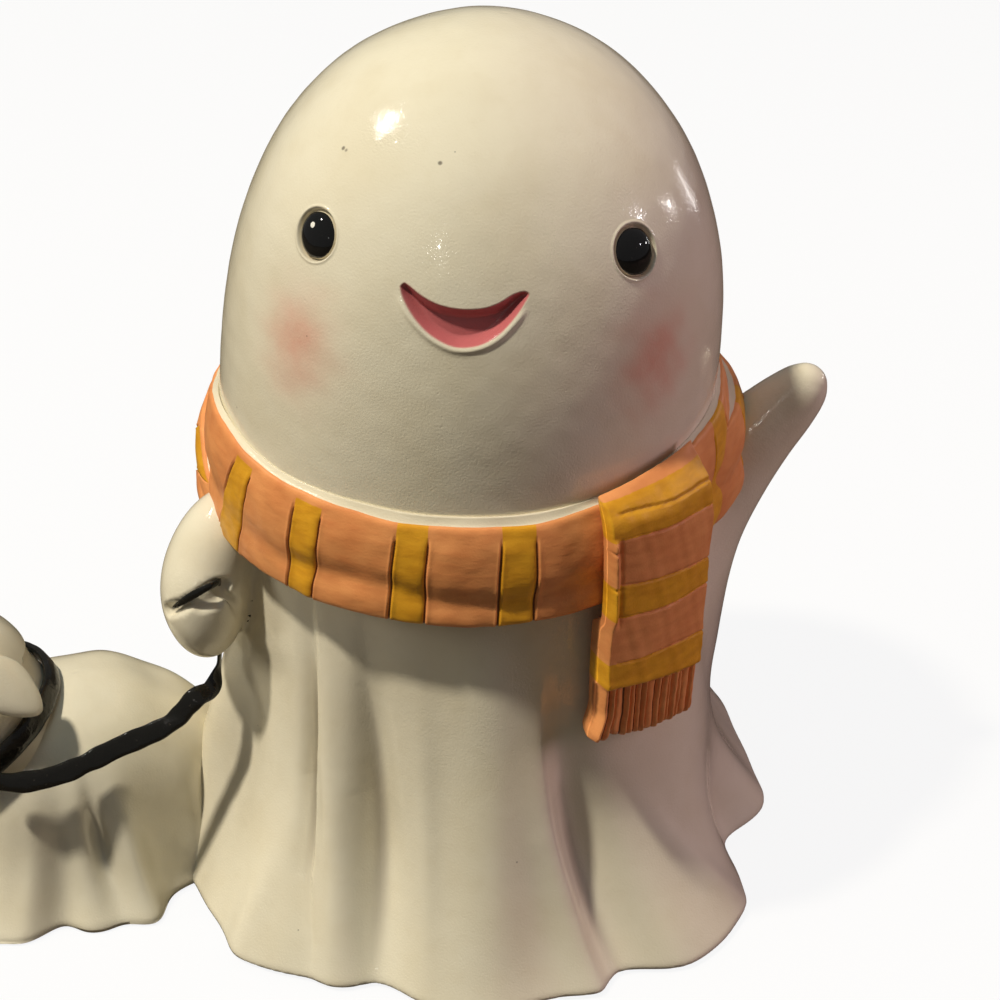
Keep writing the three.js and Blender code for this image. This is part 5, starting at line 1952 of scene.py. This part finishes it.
@dataclass
class DogHead:
    """Dog's head and neck, with ears, eyes, nose and collar."""

    place: DogFrame = DogFrame()
    radius: float = 30.0
    neck: float = 28.0
    length: float = 62.0
    power: float = 2.2
    muzzle: tuple = (15.0, 33.0, 15.6, 24.6, 11.8)
    collar_up: float = 12.0
    collar_height: float = 8.0
    ear_half: Triple = (8.4, 14.6, 3.3)
    smile: tuple = (
        (-7.5, -36.0, 30.0), (-4.0, -38.6, 27.5), (0.0, -39.6, 28.6), (4.0, -38.6, 27.5),
        (7.5, -36.0, 30.0),
    )
    socket: tuple = (17.4, -24.0, 45.2, 3.2)
    low: Triple = (-218.0, -80.0, 30.0)
    high: Triple = (-138.0, 6.0, 112.0)
    cell: float = 1.25

    def own(self, points: Array) -> Array:
        """Places in the row frame as the head's own: side, back and up."""
        foot, axes = self.place.head_axes()
        return (points - foot) @ axes.T

    def girth(self, up: Array) -> Array:
        """Radius of the neck and skull at a height, below the dome."""
        share = np.clip(up / self.length, 0.0, 1.0)
        return self.neck + (self.radius - self.neck) * smooth(share, 0.36, 0.6)

    def shape(self, points: Array) -> Array:
        """Field of the head.

        Args:
            points: places.

        Returns:
            Distances, negative inside.
        """
        side, back, up = self.own(points).T
        radius = np.hypot(side, back)
        half = 0.5 * self.length
        dome = np.clip((up - half) / half, 0.0, None)
        round_top = (np.hypot(radius / self.radius, dome ** (0.5 * self.power)) - 1.0) * self.radius
        skull = np.where(up > half, round_top, radius - self.girth(up))
        out, height, wide, reach, deep = self.muzzle
        flat = np.stack([side / wide, (back + out) / reach, (up - height) / deep], axis=1)
        muzzle = (np.linalg.norm(flat, axis=1) - 1.0) * deep
        whole = soft_join(skull, muzzle, 9.0)
        own = np.stack([side, back, up], axis=1)
        whole = soft_cut(whole, tube(own, np.array(self.smile), 0.55), 1.0)
        x, y, z, size = self.socket
        for hand in (-1.0, 1.0):
            socket = np.linalg.norm(own - np.array([hand * x, y, z]), axis=1) - size
            whole = soft_cut(whole, socket, 1.6)
        whole = whole + 0.3 * ripple(points, 21.0, 81)
        return np.maximum(whole, -up)

    def frame_on(self, azimuth: float, up: float, sunk: float) -> tuple[Array, Array]:
        """Spot on the skull: its place and its right, up and outward axes.

        Args:
            azimuth: round the skull, in degrees.
            up: height on the skull.
            sunk: how deep the place lies under the surface.

        Returns:
            The place, and the three axes as rows.
        """
        foot, axes = self.place.head_axes()
        share = max(0.0, 2.0 * up / self.length - 1.0)
        radius = float(self.girth(np.array(up))) * math.sqrt(max(0.0, 1.0 - share**self.power))
        out = unit(around(1.0, np.array(azimuth), 0.35))
        right = around(1.0, np.array(azimuth + 90.0), 0.0)
        lift = np.cross(out, right)
        spot = around(radius - sunk, np.array(azimuth), up)
        return foot + spot @ axes, np.stack([right, lift, out]) @ axes

    def bead(
        self, node: str, middle: Array, axes: Array, half: Triple, finishes: Finishes
    ) -> bpy.types.Object:
        """Small glossy bead, a little flattened and uneven.

        Args:
            node: the CAD node that it stands for.
            middle: its middle.
            axes: its axes.
            half: its half sizes along them.
            finishes: all finishes.

        Returns:
            The piece.
        """
        shape, faces = ball(20, 36)
        shape = shape * (1.0 + 0.03 * ripple(shape, 1.4, 91)[:, None])
        points = middle + (shape * np.array(half)) @ axes
        piece = make_piece(f"enamel_{node}", points, faces)
        mount(piece, node, Slot.ENAMEL, finishes.enamel)
        return piece

    def ear(self, hand: float, node: str, finishes: Finishes) -> bpy.types.Object:
        """Hanging ear, folded at its root and curled at its tip.

        Args:
            hand: 1 for the left ear, -1 for the right.
            node: the CAD node that it stands for.
            finishes: all finishes.

        Returns:
            The piece.
        """
        middle, axes = self.frame_on(hand * 96.0, 46.0, -2.8)
        shape, faces = ball(44, 60)
        shape = shape[:, [1, 2, 0]]
        local = shape * np.array(self.ear_half)
        share = 0.5 - 0.5 * shape[:, 1]
        local[:, 0] *= 0.72 + 0.4 * np.sin(math.pi * share**0.8)
        local[:, 2] += 0.9 * hump(shape[:, 0] / 0.5) * np.sign(shape[:, 2]) * -0.35 + 1.1 * share**3
        local[:, 1] -= 11.0
        points = middle + local @ axes
        piece = make_piece(f"glazed_{node}", points, faces)
        mount(piece, node, Slot.GLAZE, finishes.glaze)
        return piece

    def collar(self, finishes: Finishes) -> bpy.types.Object:
        """Painted collar round the neck.

        Args:
            finishes: all finishes.

        Returns:
            The piece.
        """
        foot, axes = self.place.head_axes()
        sides, rings = 180, 24
        round_turn = np.linspace(0.0, 360.0, sides, endpoint=False)[None, :]
        section = np.linspace(0.0, 2.0 * math.pi, rings, endpoint=False)[:, None]
        thick = np.sign(np.cos(section)) * np.abs(np.cos(section)) ** 0.6
        tall = np.sign(np.sin(section)) * np.abs(np.sin(section)) ** 0.6
        radius = self.neck + 2.1 + 1.45 * thick + 0.0 * round_turn
        wave = 0.5 * np.sin(np.radians(round_turn * 3.0))
        level = self.collar_up + 0.5 * self.collar_height * (1.0 + tall) + wave
        flat = around(radius, round_turn, level)
        flat = flat + 0.16 * ripple(flat, 8.0, 95)[..., None]
        points = foot + flat.reshape(-1, 3) @ axes
        piece = make_piece("painted_dog_collar", points, [grid_faces(rings, sides, True, True)[:, ::-1]])
        mount(piece, "dog_collar", Slot.STRAP, finishes.strap)
        return piece

    def build(self, finishes: Finishes) -> list[bpy.types.Object]:
        """Makes the head and all that is on it.

        Args:
            finishes: all finishes.

        Returns:
            The pieces.
        """
        points, quads = wrap_field(self.shape, self.low, self.high, self.cell)
        points, facing = settle(self.shape, points)
        skull = make_piece("glazed_dog_head", points, [quads], None, facing)
        mount(skull, "dog_head_shell", Slot.GLAZE, finishes.glaze)
        foot, axes = self.place.head_axes()
        out, height, _, reach, _ = self.muzzle
        tip = foot + np.array([0.0, -out - reach + 1.2, height + 3.0]) @ axes
        made = [skull, self.collar(finishes)]
        made.append(self.bead("dog_nose", tip, axes, (4.2, 3.2, 3.6), finishes))
        for hand, node in ((1.0, "left"), (-1.0, "right")):
            made.append(self.ear(hand, f"dog_ear_{node}", finishes))
            middle, eye_axes = self.frame_on(hand * 36.0, 45.0, 1.2)
            made.append(self.bead(f"dog_eye_{node}", middle, eye_axes, (3.3, 3.5, 3.3), finishes))
        return made


@dataclass
class Strap:
    """Flat strap from the mitt over the dog's sheet to its collar, one rigid casting."""

    place: DogFrame = DogFrame()
    root: Triple = (-76.0, -22.0, 138.0)
    in_hand: tuple = (
        ((-23.5, -26.5, -21), (-0.5, -0.8, 0.2), 0.14, 0.3),
        ((-20, -29.3, -17), (-0.3, -0.9, 0.2), 0.3, 0.5),
        ((-15.5, -30.2, -13.4), (-0.1, -1, 0.2), 0.38, 0.7),
        ((-9.5, -28.6, -10.6), (0.3, -0.9, 0.2), 0.33, 0.6),
        ((-8, -21.5, -14), (1, -0.2, 0.1), 0.4, 0.5),
        ((-7.5, -14.5, -32), (1, -0.1, 0.1), 0.7, 0.36),
        ((-11.3, -14.5, -46), (1, -0.1, 0.2), 0.7, 0.36),
        ((-12.3, -15.5, -51.5), (1, -0.1, 0.2), 0.7, 0.4),
        ((-14.5, -20.5, -57.5), (0.3, -0.6, 0.8), 0.85, 0.9),
    )
    on_dog: tuple = (
        ((34.6, -39.8, 79.5), (-0.2, -0.7, 0.7), 1.0, 0.9),
        ((25.1, -39.3, 71), (-0.2, -0.8, 0.6), 1.0, 1.0),
        ((6.7, -39.4, 66), (-0.1, -0.8, 0.55), 1.05, 1.0),
        ((-13.1, -40.6, 61.5), (-0.1, -0.85, 0.5), 1.0, 1.0),
        ((-26.5, -38.9, 60.5), (-0.2, -0.9, 0.4), 1.0, 1.0),
        ((-37, -35.7, 62), (-0.5, -0.95, 0.3), 0.9, 0.9),
    )
    half_width: float = 3.45
    half_thickness: float = 1.5
    sections: int = 300
    sides: int = 28

    def build(self, finishes: Finishes) -> bpy.types.Object:
        """Makes the strap.

        Args:
            finishes: all finishes.

        Returns:
            The piece.
        """
        hand = [(*(np.array(at) + self.root), *face, wide, thick) for at, face, wide, thick in self.in_hand]
        world = self.place.world
        dog = [
            (*world(np.array(at, float)), *world(np.array(face, float), False), wide, thick)
            for at, face, wide, thick in self.on_dog
        ]
        path = curve_through(np.array(hand + dog, float), self.sections)
        middles = path[:, :3]
        tangents = np.gradient(middles, axis=0)
        tangents /= np.linalg.norm(tangents, axis=1)[:, None]
        out = path[:, 3:6]
        out = out - (out * tangents).sum(axis=1)[:, None] * tangents
        out /= np.linalg.norm(out, axis=1)[:, None]
        side = np.cross(tangents, out)
        angle = np.linspace(0.0, 2.0 * math.pi, self.sides, endpoint=False)[None, :]
        wide = np.sign(np.cos(angle)) * np.abs(np.cos(angle)) ** 0.75
        thick = np.sign(np.sin(angle)) * np.abs(np.sin(angle)) ** 0.75
        ends = np.minimum(np.arange(self.sections), np.arange(self.sections)[::-1]) / 7.0
        ends = np.sqrt(np.clip(1.0 - (1.0 - np.clip(ends, 0.02, 1.0)) ** 2, 0.0, 1.0))
        wave = 1.0 + 0.07 * ripple(middles, 9.0, 101)
        half_wide = (self.half_width * path[:, 6] * ends * wave)[:, None] * wide
        half_thick = (self.half_thickness * path[:, 7] * ends)[:, None] * thick
        points = middles[:, None] + half_wide[..., None] * side[:, None]
        points = points + half_thick[..., None] * out[:, None]
        points = points + (0.14 * ripple(points, 7.0, 102))[..., None] * out[:, None]
        points = points.reshape(-1, 3)
        points = np.vstack([points, middles[0], middles[-1]])
        count = self.sections * self.sides
        faces = [
            grid_faces(self.sections, self.sides),
            fan(np.arange(self.sides), count, True),
            fan(np.arange(self.sides) + count - self.sides, count + 1),
        ]
        piece = make_piece("painted_leash_strap", points, faces)
        mount(piece, "leash_strap", Slot.STRAP, finishes.strap)
        return piece


# Studio
class Beam(enum.Enum):
    """What a lamp does: light surfaces, or only mirror in the gloss."""

    LIGHT = "light"
    GLINT = "glint"


@dataclass(frozen=True)
class Lamp:
    """Lamp that faces the figurine from a direction."""

    name: str
    beam: Beam
    azimuth: float
    elevation: float
    distance: float
    width: float
    height: float
    power: float
    tint: Triple

    def build(self, target: Vector) -> bpy.types.Object:
        """Makes the lamp.

        Args:
            target: what it faces.

        Returns:
            The lamp.
        """
        light = bpy.data.lights.new(self.name, "AREA")
        light.shape = "ELLIPSE"
        light.size, light.size_y = self.width, self.height
        light.energy = self.power
        light.color = self.tint
        lamp = bpy.data.objects.new(self.name, light)
        level = math.cos(math.radians(self.elevation))
        away = Vector(
            (
                level * math.sin(math.radians(self.azimuth)),
                -level * math.cos(math.radians(self.azimuth)),
                math.sin(math.radians(self.elevation)),
            )
        )
        lamp.location = target + away * self.distance
        lamp.rotation_euler = (-away).to_track_quat("-Z", "Y").to_euler()
        lamp.visible_diffuse = self.beam is Beam.LIGHT
        lamp.visible_glossy = self.beam is Beam.GLINT
        bpy.context.scene.collection.objects.link(lamp)
        return lamp


@dataclass
class Studio:
    """Camera, floor, air and lamps."""

    camera_at: Triple = (8.0, -547.4, 441.07)
    pitch: float = 29.577
    lens: float = 65.1636
    target: Triple = (0.0, 0.0, 0.17)
    floor_half: float = 4.0
    ambient: float = 0.095
    mirrored: float = 0.14
    shadow_left: float = 0.1
    carpet: tuple = colour(88, 81, 71)
    lamps: tuple = (
        Lamp("key lamp", Beam.LIGHT, -67.0, 62.0, 4.0, 0.3, 0.3, 147.0, (1.0, 0.92, 0.77)),
        Lamp("high soft lamp", Beam.LIGHT, 0.0, 88.0, 1.6, 0.9, 0.9, 2.4, (0.75, 0.95, 1.0)),
        Lamp("left soft lamp", Beam.LIGHT, -80.0, 20.0, 1.6, 0.5, 0.5, 4.2, (1.0, 0.94, 0.8)),
        Lamp("side soft lamp", Beam.LIGHT, 88.0, 14.0, 1.6, 0.8, 0.8, 7.8, (1.0, 0.66, 0.74)),
        Lamp("key glint", Beam.GLINT, -96.6, 55.5, 1.6, 0.06, 0.06, 3.4, (1.0, 0.96, 0.88)),
        Lamp("window glint", Beam.GLINT, 86.0, 17.0, 1.6, 0.05, 0.05, 0.5, (0.96, 0.93, 1.0)),
        Lamp("door glint", Beam.GLINT, 108.0, 10.0, 1.6, 0.04, 0.08, 0.5, (1.0, 0.97, 0.94)),
        Lamp("low glint", Beam.GLINT, 128.0, 3.5, 1.6, 0.03, 0.3, 0.5, (1.0, 0.97, 0.94)),
        Lamp("front glint", Beam.GLINT, -18.0, 29.0, 1.6, 0.03, 0.03, 0.3, (1.0, 0.95, 0.88)),
    )

    def camera(self) -> bpy.types.Object:
        """Camera at the photograph's place and tilt.

        Returns:
            The camera.
        """
        lens = bpy.data.cameras.new("camera")
        lens.lens, lens.sensor_width, lens.sensor_height = self.lens, 36.0, 36.0
        lens.sensor_fit = "HORIZONTAL"
        lens.clip_start, lens.clip_end = 0.01, 50.0
        made = bpy.data.objects.new("camera", lens)
        made.location = Vector(self.camera_at) * MM
        made.rotation_euler = (math.radians(90.0 - self.pitch), 0.0, 0.0)
        bpy.context.scene.collection.objects.link(made)
        bpy.context.scene.camera = made
        return made

    def floor_paint(self) -> bpy.types.Material:
        """Pale floor that looks white and keeps the shadow.

        Returns:
            The finished material.
        """
        paint = Paint("pale_floor")
        looked_at = Channel(paint, paint.node("ShaderNodeLightPath", {}, {}).outputs["Is Camera Ray"])
        pale = paint.blend(paint.noise(60.0) * 0.04, colour(232, 230, 226), colour(224, 221, 216))
        tint = paint.blend(looked_at, self.carpet, pale)
        matt = paint.node("ShaderNodeBsdfDiffuse", {}, {"Color": tint})
        glow = paint.node("ShaderNodeEmission", {}, {"Color": WHITE, "Strength": 1.0})
        layers = {1: Channel(paint, matt.outputs[0]), 2: Channel(paint, glow.outputs[0])}
        mixed = paint.node("ShaderNodeMixShader", {}, {0: looked_at * (1.0 - self.shadow_left), **layers})
        paint.node("ShaderNodeOutputMaterial", {}, {"Surface": Channel(paint, mixed.outputs[0])})
        return paint.material

    def air(self) -> None:
        """Even dim light all round, with a white view behind the figurine."""
        paint = Paint("air", "worlds")
        bpy.context.scene.world = paint.material
        paths = paint.node("ShaderNodeLightPath", {}, {}).outputs
        reflected = Channel(paint, paths["Is Glossy Ray"]) * (self.mirrored - self.ambient) + self.ambient
        seen = Channel(paint, paths["Is Camera Ray"]) | Channel(paint, paths["Is Transmission Ray"])
        glow = paint.node("ShaderNodeBackground", {}, {"Color": WHITE, "Strength": seen | reflected})
        paint.node("ShaderNodeOutputWorld", {}, {"Surface": Channel(paint, glow.outputs[0])})

    def floor(self) -> bpy.types.Object:
        """Wide floor at the height that the figurine stands on.

        Returns:
            The floor.
        """
        half = self.floor_half
        mesh = bpy.data.meshes.new("floor")
        corners = [(-half, -half, 0.0), (half, -half, 0.0), (half, half, 0.0), (-half, half, 0.0)]
        mesh.from_pydata(corners, [], [(0, 1, 2, 3)])
        made = bpy.data.objects.new("floor", mesh)
        bpy.context.scene.collection.objects.link(made)
        mesh.materials.append(self.floor_paint())
        made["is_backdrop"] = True
        return made

    def build(self) -> None:
        """Makes the whole studio."""
        self.camera()
        self.floor()
        self.air()
        for lamp in self.lamps:
            lamp.build(Vector(self.target))
        bpy.context.scene.view_settings.view_transform = "Standard"
        LOG.info("studio with %d lamps", len(self.lamps))


def dress(node: str, slot: Slot, finish: bpy.types.Material) -> None:
    """Gives a carried-over CAD node its finish.

    Args:
        node: name of the node.
        slot: its slot in the record; not used.
        finish: its material.
    """
    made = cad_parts[node]
    made.data.materials.clear()
    made.data.materials.append(finish)
    LOG.info("%s keeps its shape and takes %s", node, finish.name)


def main() -> None:
    """Builds the studio and every piece in order."""
    logging.basicConfig(level=logging.INFO, format="%(name)s: %(message)s")
    Studio().build()
    finishes = Finishes()
    Head().build(finishes)
    for wrap in scarf_wraps():
        wrap.build(finishes)
    Tail().build(finishes)
    Figure().build(finishes)
    DogBody().build(finishes)
    DogHead().build(finishes)
    Strap().build(finishes)
    for node in ("base_plate", "dog_base_plate"):
        dress(node, Slot.CASTING, finishes.casting)
    for node in ("base_felt", "dog_felt"):
        dress(node, Slot.FELT, finishes.felt)
    boxes = [[list(corner) for corner in box] for box in (CAD_BOX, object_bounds())]


if __name__ == "__main__":
    main()
